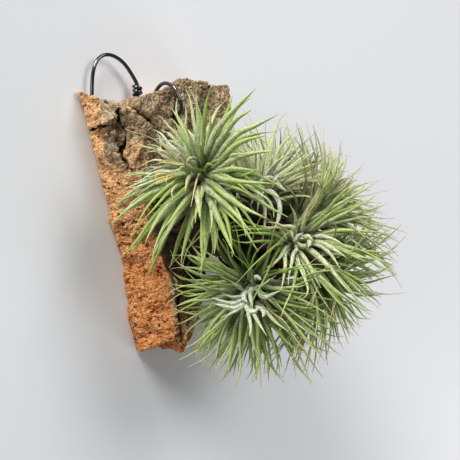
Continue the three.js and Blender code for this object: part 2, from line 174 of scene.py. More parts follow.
CURLS = {
    "low": (
        (1.1, 1.6, 0, ((1.4, 2.2), (0.5, 1.6), (0.2, -0.8), (0.8, -3.9))),
        (1.0, 1.6, 0, ((1.0, 1.9), (1.9, 2.4), (3.2, 1.6), (4.0, -0.2), (5.8, -0.7), (7.8, 0.4), (10.8, 2.0))),
        (1.1, 1.6, 0, ((-0.6, 1.0), (-2.0, 0.4), (-2.2, -1.3), (-1.0, -2.6))),
        (0.95, 1.6, 0, ((-1.2, -2.7), (-1.1, -4.8), (0.2, -5.9), (1.9, -5.6), (2.8, -4.2))),
        (0.85, 1.4, 0, ((2.2, -4.4), (4.0, -5.0), (4.9, -6.4), (4.2, -7.6))),
        (0.9, 1.6, 0, ((-1.3, -2.7), (-3.1, -3.6), (-5.2, -4.5), (-7.7, -4.3), (-10.3, -3.4), (-12.8, -2.7))),
        (0.85, 1.6, 0, ((-2.0, -1.6), (-3.8, -2.2), (-5.6, -2.9), (-8.1, -2.7), (-10.6, -1.8), (-13.5, -0.5))),
        (0.65, 1.3, 0, ((-2.0, -0.5), (-4.5, -0.7), (-7.0, -0.5), (-9.9, 0.9))),
        (0.65, 1.1, 0.15, ((-2.3, 1.3), (-3.8, 2.7), (-5.6, 3.8), (-7.0, 5.2))),
        (0.65, 1.2, 0, ((1.0, 2.0), (2.3, 2.9), (4.5, 3.6), (6.7, 5.4), (8.8, 7.0))),
        (0.9, 1.4, 0, ((0.7, 4.8), (2.2, 6.4), (3.9, 5.6))),
        (0.65, 1.2, 0, ((-1.6, -3.0), (-3.8, -4.9), (-6.7, -6.3), (-9.9, -7.4))),
        (0.8, 1.1, 0, ((0.2, -3.4), (1.3, -6.7), (3.4, -10.3), (5.6, -13.8))),
        (0.75, 1.1, 0, ((-0.9, -4.5), (-0.5, -7.4), (0.2, -11.0), (-0.4, -14.0))),
        (0.8, 0.9, 0, ((2.3, -2.7), (5.6, -5.6), (8.8, -9.2), (13.1, -12.1))),
    ),
    "crest": (
        (1.2, 1.1, 0, ((-0.6, -1.6), (-1.3, -0.3), (-0.3, 1.1), (1.2, 2.3))),
        (1.2, 1.0, 0, ((0.7, 1.3), (1.9, 0.7), (3.2, 0.9), (4.5, -0.4))),
        (1.3, 1.1, 0, ((4.0, 0.2), (3.7, -1.2), (2.9, -2.9))),
        (1.1, 0.9, 0, ((3.2, -2.2), (1.5, -2.7), (0.1, -2.1), (-0.9, -0.9))),
        (0.8, 1.3, 0, ((-0.3, -1.0), (0.2, 0.1), (1.4, 0.1))),
        (0.9, 1.0, 0, (
            (-1.3, -0.5), (-1.3, 2.0), (-2.0, 3.8), (-3.8, 4.5), (-6.0, 4.5), (-8.8, 5.6), (-11.7, 6.0),
        )),
        (0.85, 0.9, 0, ((-3.1, -0.8), (-4.0, 1.7), (-5.3, 3.5), (-7.8, 4.2), (-10.9, 4.0), (-14.0, 4.6))),
        # These two, reaching far left under the other rosettes, have little silver: painted shade
        (0.8, -0.2, 0, ((-4.5, -1.5), (-7.1, 0.3), (-9.9, 1.7), (-13.9, 2.0), (-18.2, 2.0), (-22.4, 1.0))),
        (0.7, -0.3, 0, ((-5.6, 0.3), (-8.5, 1.9), (-12.5, 3.2), (-18.0, 3.5), (-24.0, 2.9))),
        (0.8, 0.9, 0, ((-3.5, -2.3), (-5.3, -3.7), (-7.0, -6.2), (-9.5, -8.7), (-13.1, -11.9))),
        (0.8, 1.1, 0, ((-1.3, -1.9), (-1.0, -3.7), (-2.4, -5.5), (-3.1, -8.7), (-4.2, -13.0), (-4.5, -16.2))),
        (0.85, 0.9, 0, ((-3.5, -3.3), (-5.3, -5.5), (-5.3, -9.1), (-6.0, -13.4), (-7.0, -17.6))),
        (0.9, 0.9, 0, ((-0.6, -3.7), (1.2, -6.2), (3.0, -9.1), (4.8, -13.0), (6.9, -17.0))),
        (0.75, 0.8, 0, ((-1.0, -5.0), (-0.6, -8.3), (1.2, -11.6), (2.3, -15.9))),
        (1.15, 0.9, 0, ((1.2, -2.6), (4.4, -4.4), (7.6, -7.3), (10.5, -10.5), (13.4, -14.4), (16.6, -18.4))),
        (0.8, 1.1, 0, ((3.3, -1.5), (6.9, -2.3), (9.8, -4.4), (11.9, -7.3), (13.7, -10.5))),
        (0.8, 1.0, 0, ((3.7, 0.6), (7.6, 1.0), (11.6, -0.1), (15.5, -2.3))),
        (1.1, 0.9, 0, ((4.0, -0.8), (8.0, -1.5), (11.9, -3.7), (15.9, -6.5))),
        (0.75, 0.9, 0, ((0.5, 1.7), (1.2, 4.5), (1.9, 7.8), (3.0, 12.0))),
        (0.7, 0.9, 0, ((-0.6, 1.7), (-1.3, 5.3), (-2.0, 8.8), (-3.8, 12.1))),
        (0.9, -0.2, 0, ((2.6, 2.0), (5.5, 4.5), (9.1, 7.8), (13.4, 11.7))),
    ),
    "top": (
        (1.1, 1.6, 0, ((-0.3, 0.0), (0.4, 1.8), (2.3, 3.0), (4.1, 2.6), (5.2, 1.1), (6.7, -0.7), (8.6, -2.2))),
        (0.95, 1.4, 0, (
            (1.9, -1.5), (3.8, -2.6), (5.4, -4.8), (6.2, -7.7), (5.8, -11.1), (4.9, -14.0), (3.4, -17.0),
        )),
        (0.75, 1.1, 0.1, ((-1.4, -3.0), (-0.1, -5.5), (0.8, -8.5), (0.8, -12.5), (0.3, -16.6), (-0.3, -21.0))),
        (0.6, 1.2, 0.1, ((-2.1, 0.0), (-1.8, -3.0), (-1.6, -6.6), (-2.1, -10.3))),
        (0.5, 1.2, 0, ((-2.5, -1.1), (-3.1, -4.1), (-4.4, -7.6))),
        (0.55, 1.2, 0, ((1.2, 0.0), (0.4, -2.6), (-1.4, -5.2))),
        (0.6, 1.1, 0, ((1.2, -3.7), (2.7, -6.3), (3.8, -8.9), (3.9, -11.8))),
        (0.7, 1.4, 0, ((1.2, 1.5), (4.1, 4.4), (7.8, 6.6), (11.1, 9.6))),
        (0.7, 1.3, 0, ((0.8, 2.2), (3.0, 5.8), (6.0, 9.0), (10.0, 11.5))),
        (0.7, 1.3, 0, ((2.2, 0.6), (6.0, 2.6), (10.0, 4.0), (14.0, 6.6))),
    ),
    "front": (
        (0.55, 0, 1, ((-5.7, 2.4), (-5.4, 4.5), (-6.1, 6.3), (-7.4, 6.9), (-8.3, 5.6))),
        (0.7, 0.1, 0, ((-0.4, 2.4), (-1.1, 4.9), (-2.5, 5.8), (-4.1, 5.2), (-4.7, 3.4), (-3.9, 2.4))),
        (1.1, -0.3, 0, ((1.4, 1.7), (-0.7, 1.7), (-2.9, 2.5))),
        (0.7, -0.1, 0, ((-3.6, 0.4), (-4.7, 0.9), (-6.1, 2.4), (-7.2, 1.7), (-7.5, 0.2))),
        (1.0, 0.2, 0.45, ((-1.4, -0.9), (-3.2, -0.1), (-4.3, -1.6), (-4.8, -3.4), (-5.2, -6.2))),
        (0.5, 0, 1, ((2.2, 3.4), (0, 0.6), (-1.1, -1.2), (-1.8, -4.1), (-2.5, -8.0), (-3.1, -11.6))),
        (0.25, 0, 1, ((-10.0, 0.4), (-12.9, 0.6), (-14.7, 0.2), (-15.3, -1.6), (-14.5, -3.7))),
        (0.25, 0, 1, ((-8.6, -0.5), (-11.1, -0.7), (-11.7, -2.3), (-11.3, -4.5))),
        (0.35, 0, 1, ((-8.0, -3.6), (-9.4, -5.2), (-9.8, -7.0), (-9.3, -8.8))),
        (0.3, 0, 1, ((-12.8, 7.0), (-15.4, 8.6), (-18.0, 11.2))),
        (0.35, 0, 1, ((-10.0, 5.4), (-12.6, 7.6), (-15.2, 7.8), (-17.0, 9.6))),
        (1.4, 0.3, 0, ((1.5, 2.5), (5.5, 14.3), (12.4, 22.2), (19.2, 28.5))),
        (1.35, 0.2, 0, ((1.9, 2), (6.5, 11), (12.4, 18.2), (17.8, 21.5))),
        (1.5, 0.3, 0, ((2, 1.5), (7, 7), (12.4, 13.2), (19.6, 16.4), (26.8, 19.7))),
        (1.6, 0.1, 0, ((2, 1), (6.3, 3.8), (10.6, 8.5), (16, 11.4), (22.8, 12.8))),
        (1.4, 0.3, 0, ((2, 0.5), (7.7, 2.7), (12.4, 5.3), (19.6, 7.1), (26.1, 7.4))),
        (1.35, 0.1, 0, ((2, 0), (7, 1.3), (12.4, 1.7), (19.6, 0.9))),
        (1.5, 0.1, 0, ((1.4, 1), (6, -1), (13.7, -2.8), (25.4, -3.7))),
        (1.5, 0.25, 0, ((2.5, -2.5), (5, -4), (9.2, -7.7), (15.9, -12.3), (22.7, -15.4))),
        (1.5, 0.25, 0, ((0.8, -3), (3, -5.5), (6.8, -8.7), (12.3, -14.1), (17.7, -20.3))),
        (1.35, 0.1, 0, ((2.4, -7.8), (4.2, -11), (6.4, -15.6), (9.2, -21.8), (12, -28))),
        (1.2, 0.5, 0, ((-0.6, -4.4), (-0.9, -7.8), (-0.2, -12.2), (0.2, -16.0))),
        (1.25, -0.4, 0, ((1.6, 4.0), (0.6, 6.8), (0.0, 10.2))),
    ),
}

BROAD = 1.3  # half of the width, above which a placed leaf has a living leaf's outline

# The bark as a plain tapering slab, as [y, x] along its sides

BARK_LEFT = np.array((
    (-48, -4), (-40, -7.5), (-30, -9.5), (-20, -11), (-14, -13), (-9, -13.5), (0, -17.5), (8, -20.5),
    (18, -23.5), (30, -27), (34, -30), (43, -32), (50, -35.5),
))
BARK_RIGHT = np.array(((-48, 8), (-44, 10), (-20, 17), (0, 23), (20, 28.5), (40, 34), (50, 34.5), (56, 32)))
BARK_FOOT_Y = -48
BARK_TOP_Y = 52
BARK_THICKNESS = 20.5
BARK_RELIEF = 3.2

# The deep cracks in the crust, each as half of its width and its route, dented a little and painted dark inside
# as their shade. They run on in, away from the camera.
# The solid's own crack is narrowed, because the crust is swollen along it.

CRACKS = (
    (0.45, ((-28.5, 42, 16.3), (-28.2, 40.1, 16.2), (-27, 36.8, 15.4), (-24.8, 33, 17.2))),
    (0.95, ((-24.8, 33, 17.2), (-25.2, 29.5, 16.5), (-25.9, 26.5, 15.6))),
    (0.5, ((-25.9, 26.5, 15.6), (-25, 23.5, 16), (-21.8, 19.5, 16.8))),
    (0.75, ((-30.5, 34.2, 3), (-30, 34.7, 8.7), (-29.2, 35.3, 11.5))),
)
NARROWED_CRACK = ((-28, 46, 19), (-24, 43, 19), (-19, 39.5, 19), (-11, 34, 19), (-3, 29, 19))

# The wire's route: from its hole in the bark's face, over the top edge, round in the chip behind it, up
# through the knot, and over the arch to its hole behind the horn

WIRE_ROUTE = np.array((
    (-1.5, 41, 9), (-1.5, 41, 15), (-1.6, 41.2, 21), (-2.4, 42.8, 24), (-3.3, 46.5, 24.3), (-4.2, 50.8, 22.6),
    (-4.6, 53, 19), (-4.4, 53, 15.5), (-3.9, 51, 12.2), (-3.3, 47.6, 9.2), (-3, 44.6, 6.2), (-3.6, 43, 4.4),
    (-5, 42.9, 3.9), (-6.2, 44.8, 4.2), (-6.7, 48, 4.6), (-6.9, 53, 4.7), (-10.7, 58, 4.7),
    (-14.8, 61.5, 4.7), (-19.3, 63.4, 4.4), (-23.4, 63.4, 4.2), (-26.6, 61.5, 3.9), (-28.5, 58, 3.7),
    (-29.2, 53, 3.5), (-29.2, 46.5, 3.4), (-28.2, 39, 3.3),
))
WIRE_RADIUS = 0.75
KNOT_FOOT = np.array((-6.7, 49.4, 4.6))
KNOT_TOP = np.array((-7, 53.2, 4.7))
KNOT_TURNS = 2.4
TAIL_END = (-9.6, 49.2, 6)

# How the leaves are grown, and how far apart they keep in millimetres

TABLE_GAP = 2.5
TOUCH_GAP = 0.35
ROOT_SHARE = 0.2
LEAF_STEPS = 18
SECTION_STEPS = 6
GOLDEN_ANGLE = 137.508
SHARES = np.linspace(0, 1, LEAF_STEPS + 1)


class LeafSettings(bpy.types.PropertyGroup):
    """The living leaves"""

    extra: bpy.props.IntProperty(
        name="Extra leaves", default=3, min=0, max=3,
        description="Rounds of finer leaves that are grown between the main ones",
    )
    breadth: bpy.props.FloatProperty(
        name="Breadth", default=0.75, min=0.5, max=1, subtype="FACTOR",
        description="Width of a leaf, as a share of the width that it keeps free",
    )
    plumpness: bpy.props.FloatProperty(
        name="Plumpness", default=0.42, min=0.1, max=1, subtype="FACTOR",
        description="Half of a leaf's thickness, as a share of half its width",
    )
    channel: bpy.props.FloatProperty(
        name="Channel", default=0.6, min=0, max=1, subtype="FACTOR",
        description="How far a leaf's margins turn up, as a share of half its width",
    )
    green: bpy.props.FloatVectorProperty(
        name="Green", default=(0.085, 0.175, 0.013), subtype="COLOR", min=0, max=1,
        description="Skin of a leaf where it has little bloom",
    )
    bright: bpy.props.FloatVectorProperty(
        name="Bright green", default=(0.32, 0.46, 0.075), subtype="COLOR", min=0, max=1,
        description="Skin of the lightest leaves and of the margins",
    )
    pale: bpy.props.FloatVectorProperty(
        name="Pale green", default=(0.46, 0.45, 0.25), subtype="COLOR", min=0, max=1,
        description="Skin of the rosettes that stand in the most light",
    )
    bloom: bpy.props.FloatVectorProperty(
        name="Bloom", default=(0.72, 0.7, 0.5), subtype="COLOR", min=0, max=1,
        description="Silvery scales that cover the skin",
    )
    white: bpy.props.FloatVectorProperty(
        name="Thick bloom", default=(0.83, 0.86, 0.78), subtype="COLOR", min=0, max=1,
        description="Scales of the curled leaves at the eyes",
    )
    dry: bpy.props.FloatVectorProperty(
        name="Dry tips", default=(0.45, 0.28, 0.13), subtype="COLOR", min=0, max=1,
        description="Dried tip of a leaf",
    )


class OldGrowthSettings(bpy.types.PropertyGroup):
    """The old stems, with their roots and dead leaves"""

    wood: bpy.props.FloatVectorProperty(
        name="Stem", default=(0.075, 0.045, 0.025), subtype="COLOR", min=0, max=1,
        description="Old stems and roots",
    )
    straw: bpy.props.FloatVectorProperty(
        name="Straw", default=(0.3, 0.2, 0.11), subtype="COLOR", min=0, max=1,
        description="Dead leaves and dried curls",
    )
    roots: bpy.props.IntProperty(
        name="Roots", default=70, min=0, max=200, description="Number of wiry roots over the bark",
    )
    dead_leaves: bpy.props.IntProperty(
        name="Dead leaves", default=14, min=0, max=30, description="Number of dead leaves under each rosette",
    )


class CorkSettings(bpy.types.PropertyGroup):
    """The cork bark"""

    voxel: bpy.props.FloatProperty(
        name="Voxel", default=0.55 * MM, min=0.3 * MM, max=2 * MM, subtype="DISTANCE", precision=5,
        description="Size of the faces that the bark is remeshed to",
    )
    grain: bpy.props.FloatProperty(
        name="Grain", default=0.78 * MM, min=0.5 * MM, max=5 * MM, subtype="DISTANCE", precision=5,
        description="Size of the cork's grains on a broken side",
    )
    grain_depth: bpy.props.FloatProperty(
        name="Grain depth", default=0.4 * MM, min=0, max=2 * MM, subtype="DISTANCE", precision=5,
        description="How far the grains stand out",
    )
    pit_depth: bpy.props.FloatProperty(
        name="Pit depth", default=1.3 * MM, min=0, max=3 * MM, subtype="DISTANCE", precision=5,
        description="Depth of the pits between the grains",
    )
    crust_depth: bpy.props.FloatProperty(
        name="Crust depth", default=1.3 * MM, min=0, max=4 * MM, subtype="DISTANCE", precision=5,
        description="Height of the lumps on the outer crust",
    )
    inner: bpy.props.FloatVectorProperty(
        name="Inner cork", default=(0.7, 0.24, 0.061), subtype="COLOR", min=0, max=1,
        description="Orange cork of the broken sides",
    )
    crust: bpy.props.FloatVectorProperty(
        name="Crust", default=(0.32, 0.23, 0.14), subtype="COLOR", min=0, max=1,
        description="Grey brown outer crust",
    )
    # Also the colour of the painted shade in the cracks and closed-in hollows
    dark: bpy.props.FloatVectorProperty(
        name="Pits", default=(0.03, 0.014, 0.007), subtype="COLOR", min=0, max=1,
        description="Bottoms of the pits and cracks",
    )


class WireSettings(bpy.types.PropertyGroup):
    """The hanging wire"""

    radius: bpy.props.FloatProperty(
        name="Radius", default=WIRE_RADIUS * MM, min=0.2 * MM, max=2 * MM, subtype="DISTANCE", precision=5,
        description="Radius of the coated wire",
    )
    coating: bpy.props.FloatVectorProperty(
        name="Coating", default=(0.006, 0.007, 0.009), subtype="COLOR", min=0, max=1,
        description="Black coating of the wire",
    )


class StageSettings(bpy.types.PropertyGroup):
    """The floor, the lights and the camera"""

    floor: bpy.props.FloatVectorProperty(
        name="Floor", default=(0.835, 0.84, 0.855), subtype="COLOR", min=0, max=1,
        description="Plain pale floor",
    )
    key: bpy.props.FloatProperty(
        name="Key light", default=30.0, min=0, max=100, subtype="POWER",
        description="Strength of the large soft light, which the others follow",
    )
    fill: bpy.props.FloatProperty(
        name="Fill", default=0.16, min=0, max=5, description="Strength of the light from all round",
    )


class ClumpSettings(bpy.types.PropertyGroup):
    """All settings of the clump"""

    leaves: bpy.props.PointerProperty(type=LeafSettings)
    old_growth: bpy.props.PointerProperty(type=OldGrowthSettings)
    cork: bpy.props.PointerProperty(type=CorkSettings)
    wire: bpy.props.PointerProperty(type=WireSettings)
    stage: bpy.props.PointerProperty(type=StageSettings)


# Shared helpers


def lerp(low, high, share):
    return low + (high - low) * share


def draw(seed, index):
    """A repeatable draw from 0 to 1"""
    wave = math.sin(seed * 12.9898 + index * 78.233) * 43758.5453
    return wave - math.floor(wave)


class Nodes:
    """Adds nodes to a tree. Inputs are given by name or number, as values or as other nodes' outputs."""

    def __init__(self, tree):
        self.tree = tree

    def add(self, kind, inputs=None, output=0, **settings):
        node = self.tree.nodes.new(kind)
        node.location.x = 180 * len(self.tree.nodes)
        for name, value in settings.items():
            setattr(node, name, value)
        for key, value in (inputs or {}).items():
            if isinstance(value, bpy.types.NodeSocket):
                self.tree.links.new(value, node.inputs[key])
            else:
                node.inputs[key].default_value = value
        return node.outputs[output] if node.outputs else node

    def math(self, operation, a, b=0.0):
        return self.add("ShaderNodeMath", {0: a, 1: b}, operation=operation)

    def plus(self, a, b):
        return self.math("ADD", a, b)

    def minus(self, a, b):
        return self.math("SUBTRACT", a, b)

    def times(self, a, b):
        return self.math("MULTIPLY", a, b)

    def most(self, a, b):
        return self.math("MAXIMUM", a, b)

    def vector(self, operation, a, b=(0.0, 0.0, 0.0), output=0):
        return self.add("ShaderNodeVectorMath", {0: a, 1: b}, output, operation=operation)

    def scaled(self, vector, factor):
        return self.add("ShaderNodeVectorMath", {0: vector, "Scale": factor}, operation="SCALE")

    def distance(self, place, point):
        """How far a place is from a point that is given in millimetres"""
        return self.vector("DISTANCE", place, tuple(value * MM for value in point), "Value")

    def axes(self, vector):
        """The three numbers of a vector"""
        return self.add("ShaderNodeSeparateXYZ", {0: vector}).node.outputs

    def blend(self, factor, a, b):
        """From colour a to colour b"""
        return self.add("ShaderNodeMix", {0: factor, 6: a, 7: b}, 2, data_type="RGBA", clamp_factor=True)

    def step(self, value, low, high, to_low=0.0, to_high=1.0):
        """Goes smoothly from one value to another between two places"""
        inputs = {"Value": value, "From Min": low, "From Max": high, "To Min": to_low, "To Max": to_high}
        return self.add("ShaderNodeMapRange", inputs, interpolation_type="SMOOTHSTEP")

    def noise(self, place, size, detail=2.0, roughness=0.5):
        inputs = {"Vector": place, "Scale": 1 / size, "Detail": detail, "Roughness": roughness}
        return self.add("ShaderNodeTexNoise", inputs)

    def cells(self, place, size, feature="F1", output="Distance"):
        return self.add("ShaderNodeTexVoronoi", {"Vector": place, "Scale": 1 / size}, output, feature=feature)


def new_piece(name, mesh):
    """Puts a mesh on show as a piece of the object"""
    mesh.name = name
    piece = bpy.data.objects.new(name, mesh)
    bpy.context.scene.collection.objects.link(piece)
    return piece


def made_plain(piece):
    """Takes a piece away, and returns the mesh that its modifier makes of it"""
    view = bpy.context.evaluated_depsgraph_get()
    mesh = bpy.data.meshes.new_from_object(piece.evaluated_get(view))
    bpy.data.objects.remove(piece)
    return mesh


def remeshed(node, size):
    """A CAD node's mesh with its doubled points merged, remeshed to even faces of one size"""
    work = bmesh.new()
    work.from_mesh(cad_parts[node].data)
    bmesh.ops.remove_doubles(work, verts=work.verts, dist=0.01 * MM)
    mesh = bpy.data.meshes.new(node)
    work.to_mesh(mesh)
    work.free()
    blank = new_piece(node + "_blank", mesh)
    modifier = blank.modifiers.new("Remesh", "REMESH")
    modifier.mode = "VOXEL"
    modifier.voxel_size = size
    return made_plain(blank)


def new_tree(name, sockets):
    """An empty geometry tree with named inputs, its nodes' maker and its group input"""
    tree = bpy.data.node_groups.new(name, "GeometryNodeTree")
    tree.interface.new_socket("Geometry", in_out="OUTPUT", socket_type="NodeSocketGeometry")
    tree.interface.new_socket("Geometry", in_out="INPUT", socket_type="NodeSocketGeometry")
    for label, kind in sockets.items():
        tree.interface.new_socket(label, in_out="INPUT", socket_type="NodeSocket" + kind)
    nodes = Nodes(tree)
    return tree, nodes, nodes.add("NodeGroupInput").node.outputs


def end_tree(nodes, geometry, material):
    """Smooths, realizes and paints what a tree made, and puts it out"""
    smooth = nodes.add("GeometryNodeSetShadeSmooth", {0: geometry})
    real = nodes.add("GeometryNodeRealizeInstances", {0: smooth})
    painted = nodes.add("GeometryNodeSetMaterial", {"Geometry": real, "Material": material})
    nodes.add("NodeGroupOutput", {0: painted})


def grown(name, mesh, tree, values):
    """Runs a tree on a mesh and returns the result as a plain piece"""
    source = new_piece(name + "_source", mesh)
    modifier = source.modifiers.new(tree.name, "NODES")
    modifier.node_group = tree
    for item in tree.interface.items_tree:
        if item.in_out == "INPUT" and item.name in values:
            modifier[item.identifier] = values[item.name]
    result = made_plain(source)
    if not result.polygons:
        raise RuntimeError(f"{name} came out empty")
    return new_piece(name, result)


def dress(piece, node):
    """Makes a piece ride on the body, in the place of a CAD node if there is one"""
    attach(piece, BODY)
    if node:
        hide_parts(node)


# Chains: the middle lines of leaves, roots and curls, as a mesh of edges that carries what their tree reads


class Chain:
    """A row of points with, at each of them, the way to its right side, its half width and its looks"""

    def __init__(self, points, beside, half_width, plump, channel, **looks):
        count = len(points)
        self.points = np.asarray(points, float)
        self.values = {
            "beside": np.broadcast_to(beside, (count, 3)),
            "half_width": np.broadcast_to(half_width, count),
            "plump": np.broadcast_to(plump, count),
            "channel": np.broadcast_to(channel, count),
            "along": np.linspace(0, 1, count),
        }
        for name in ("silver", "tone", "dry", "warmth"):
            self.values[name] = np.broadcast_to(looks.get(name, 0.0), count)


def chain_mesh(name, chains):
    points = np.vstack([chain.points for chain in chains]) * MM
    edges = []
    start = 0
    for chain in chains:
        count = len(chain.points)
        edges += [(start + i, start + i + 1) for i in range(count - 1)]
        start += count
    mesh = bpy.data.meshes.new(name)
    mesh.from_pydata(points.tolist(), edges, [])
    for key in chains[0].values:
        values = np.concatenate([chain.values[key] for chain in chains])
        if key == "beside":
            mesh.attributes.new(key, "FLOAT_VECTOR", "POINT").data.foreach_set("vector", values.ravel())
        else:
            scale = MM if key == "half_width" else 1
            mesh.attributes.new(key, "FLOAT", "POINT").data.foreach_set("value", values * scale)
    return mesh


def named(nodes, name, kind="FLOAT"):
    return nodes.add("GeometryNodeInputNamedAttribute", {"Name": name}, data_type=kind)


def stored(nodes, geometry, name, value, kind="FLOAT"):
    inputs = {"Geometry": geometry, "Name": name, "Value": value}
    return nodes.add("GeometryNodeStoreNamedAttribute", inputs, data_type=kind, domain="POINT")


def blade_tree():
    """Skins each chain with a section that is plump below and hollowed into a channel above"""
    tree, nodes, given = new_tree("Blades", {"Sides": "Int", "Material": "Material"})
    curves = nodes.add("GeometryNodeMeshToCurve", {"Mesh": given["Geometry"]})
    beside = nodes.vector("NORMALIZE", named(nodes, "beside", "FLOAT_VECTOR"))
    tangent = nodes.add("GeometryNodeInputTangent")
    below = nodes.vector("NORMALIZE", nodes.vector("CROSS_PRODUCT", tangent, beside))
    curves = stored(nodes, curves, "middle", nodes.add("GeometryNodeInputPosition"), "FLOAT_VECTOR")
    curves = stored(nodes, curves, "below", below, "FLOAT_VECTOR")
    curves = nodes.add("GeometryNodeSetCurveNormal", {"Curve": curves, "Normal": beside}, mode="FREE")
    circle = nodes.add("GeometryNodeCurvePrimitiveCircle", {"Resolution": given["Sides"], "Radius": 1.0})
    across, down, _ = nodes.axes(nodes.add("GeometryNodeInputPosition"))
    section = stored(nodes, stored(nodes, circle, "across", across), "down", down)
    inputs = {"Curve": curves, "Profile Curve": section, "Scale": 0.0001, "Fill Caps": True}
    skin = nodes.add("GeometryNodeCurveToMesh", inputs)
    across, down = named(nodes, "across"), named(nodes, "down")
    sag = nodes.times(down, named(nodes, "plump"))
    hollow = nodes.times(nodes.times(across, across), named(nodes, "channel"))
    sideways = nodes.scaled(named(nodes, "beside", "FLOAT_VECTOR"), across)
    downwards = nodes.scaled(named(nodes, "below", "FLOAT_VECTOR"), nodes.minus(sag, hollow))
    offset = nodes.scaled(nodes.vector("ADD", sideways, downwards), named(nodes, "half_width"))
    place = nodes.vector("ADD", named(nodes, "middle", "FLOAT_VECTOR"), offset)
    skin = nodes.add("GeometryNodeSetPosition", {"Geometry": skin, "Position": place})
    end_tree(nodes, skin, given["Material"])
    return tree


# Growing the leaves


def taper(shares):
    """A leaf widens from its root, and then tapers to a point"""
    rising = lerp(0.5, 1, shares / 0.3)
    falling = np.maximum(1 - (shares - 0.3) / 0.7, 0) ** 0.8
    return np.where(shares < 0.3, rising, falling)


def leaf_line(rosette, outward, age, reach, start, end, ease=1.5):
    """The middle line of a leaf, which turns from one angle to the rosette's axis to another, in degrees"""
    root = rosette.foot + rosette.towards * STEM_LENGTH * lerp(0.84, 0.08, age)
    root = root + outward * STEM_RADIUS * lerp(0.2, 0.6, age)
    shares = (np.arange(LEAF_STEPS) + 0.5) / LEAF_STEPS
    angles = np.radians(lerp(start, end, 1 - (1 - shares) ** ease))
    steps = np.outer(np.cos(angles), rosette.towards) + np.outer(np.sin(angles), outward)
    return np.vstack([root, root + np.cumsum(steps, axis=0) * reach / LEAF_STEPS])


def straightened(line):
    """A leaf's line as it is in the solid: straight between its sections"""
    knots = np.arange(0, LEAF_STEPS + 1, SECTION_STEPS)
    steps = np.arange(LEAF_STEPS + 1)
    return np.stack([np.interp(steps, knots, line[knots, axis]) for axis in range(3)], axis=1)


def bar_distance(points, start, end, radii):
    """How far points are out of a tapering round bar"""
    run = end - start
    shares = np.clip((points - start) @ run / (run @ run), 0, 1)
    return np.linalg.norm(points - start - np.outer(shares, run), axis=1) - lerp(*radii, shares)


def clearance(points):
    """How far points stand clear of the table, the bark, the wire and the old stems"""
    x, y, z = points.T
    beside = np.maximum(np.interp(y, *BARK_LEFT.T) - x, x - np.interp(y, *BARK_RIGHT.T))
    beyond = np.maximum(BARK_FOOT_Y - y, y - BARK_TOP_Y)
    outside = np.stack([beside, beyond, z - BARK_THICKNESS - BARK_RELIEF])
    bark = np.linalg.norm(np.maximum(outside, 0), axis=0) + np.minimum(outside.max(axis=0), 0)
    trunk = bar_distance(points, STEMS_FOOT, STEMS_FORK, TRUNK_RADII) - 1.5
    wire = np.linalg.norm(points[:, None] - WIRE_ROUTE, axis=2).min(axis=1) - WIRE_RADIUS - 1.6
    limbs = [bar_distance(points, STEMS_FORK, rosette.limb_end, LIMB_RADII) for rosette in ROSETTES]
    return np.min([z - TABLE_GAP, bark, trunk, wire, *limbs], axis=0)


@dataclass
class Leaf:
    """A leaf as it was grown: its age goes from 0 to 1, and its place and turn say when it was its time"""

    line: np.ndarray
    outward: np.ndarray
    age: float
    width: float
    place: float
    turn: int


class TakenSpace:
    """Points that stems and leaves take up, each with its rosette, its share of its leaf and its half width"""

    def __init__(self):
        self.rows = np.empty((0, 6))

    def add(self, points, number, shares, halves):
        looks = [np.broadcast_to(value, len(points)) for value in (number, shares, halves)]
        self.rows = np.vstack([self.rows, np.column_stack([points, *looks])])

    def near(self, rosette, outward, reach):
        """The rows that a leaf can come near: a slice of the rosette, on one side of its axis"""
        places = self.rows[:, :3] - rosette.foot
        slanted = np.abs(places @ np.cross(rosette.towards, outward)) < 7.5 + 0.09 * reach
        outside = places @ outward > -8
        return self.rows[slanted & outside & ((places ** 2).sum(axis=1) < (reach + 30) ** 2)]


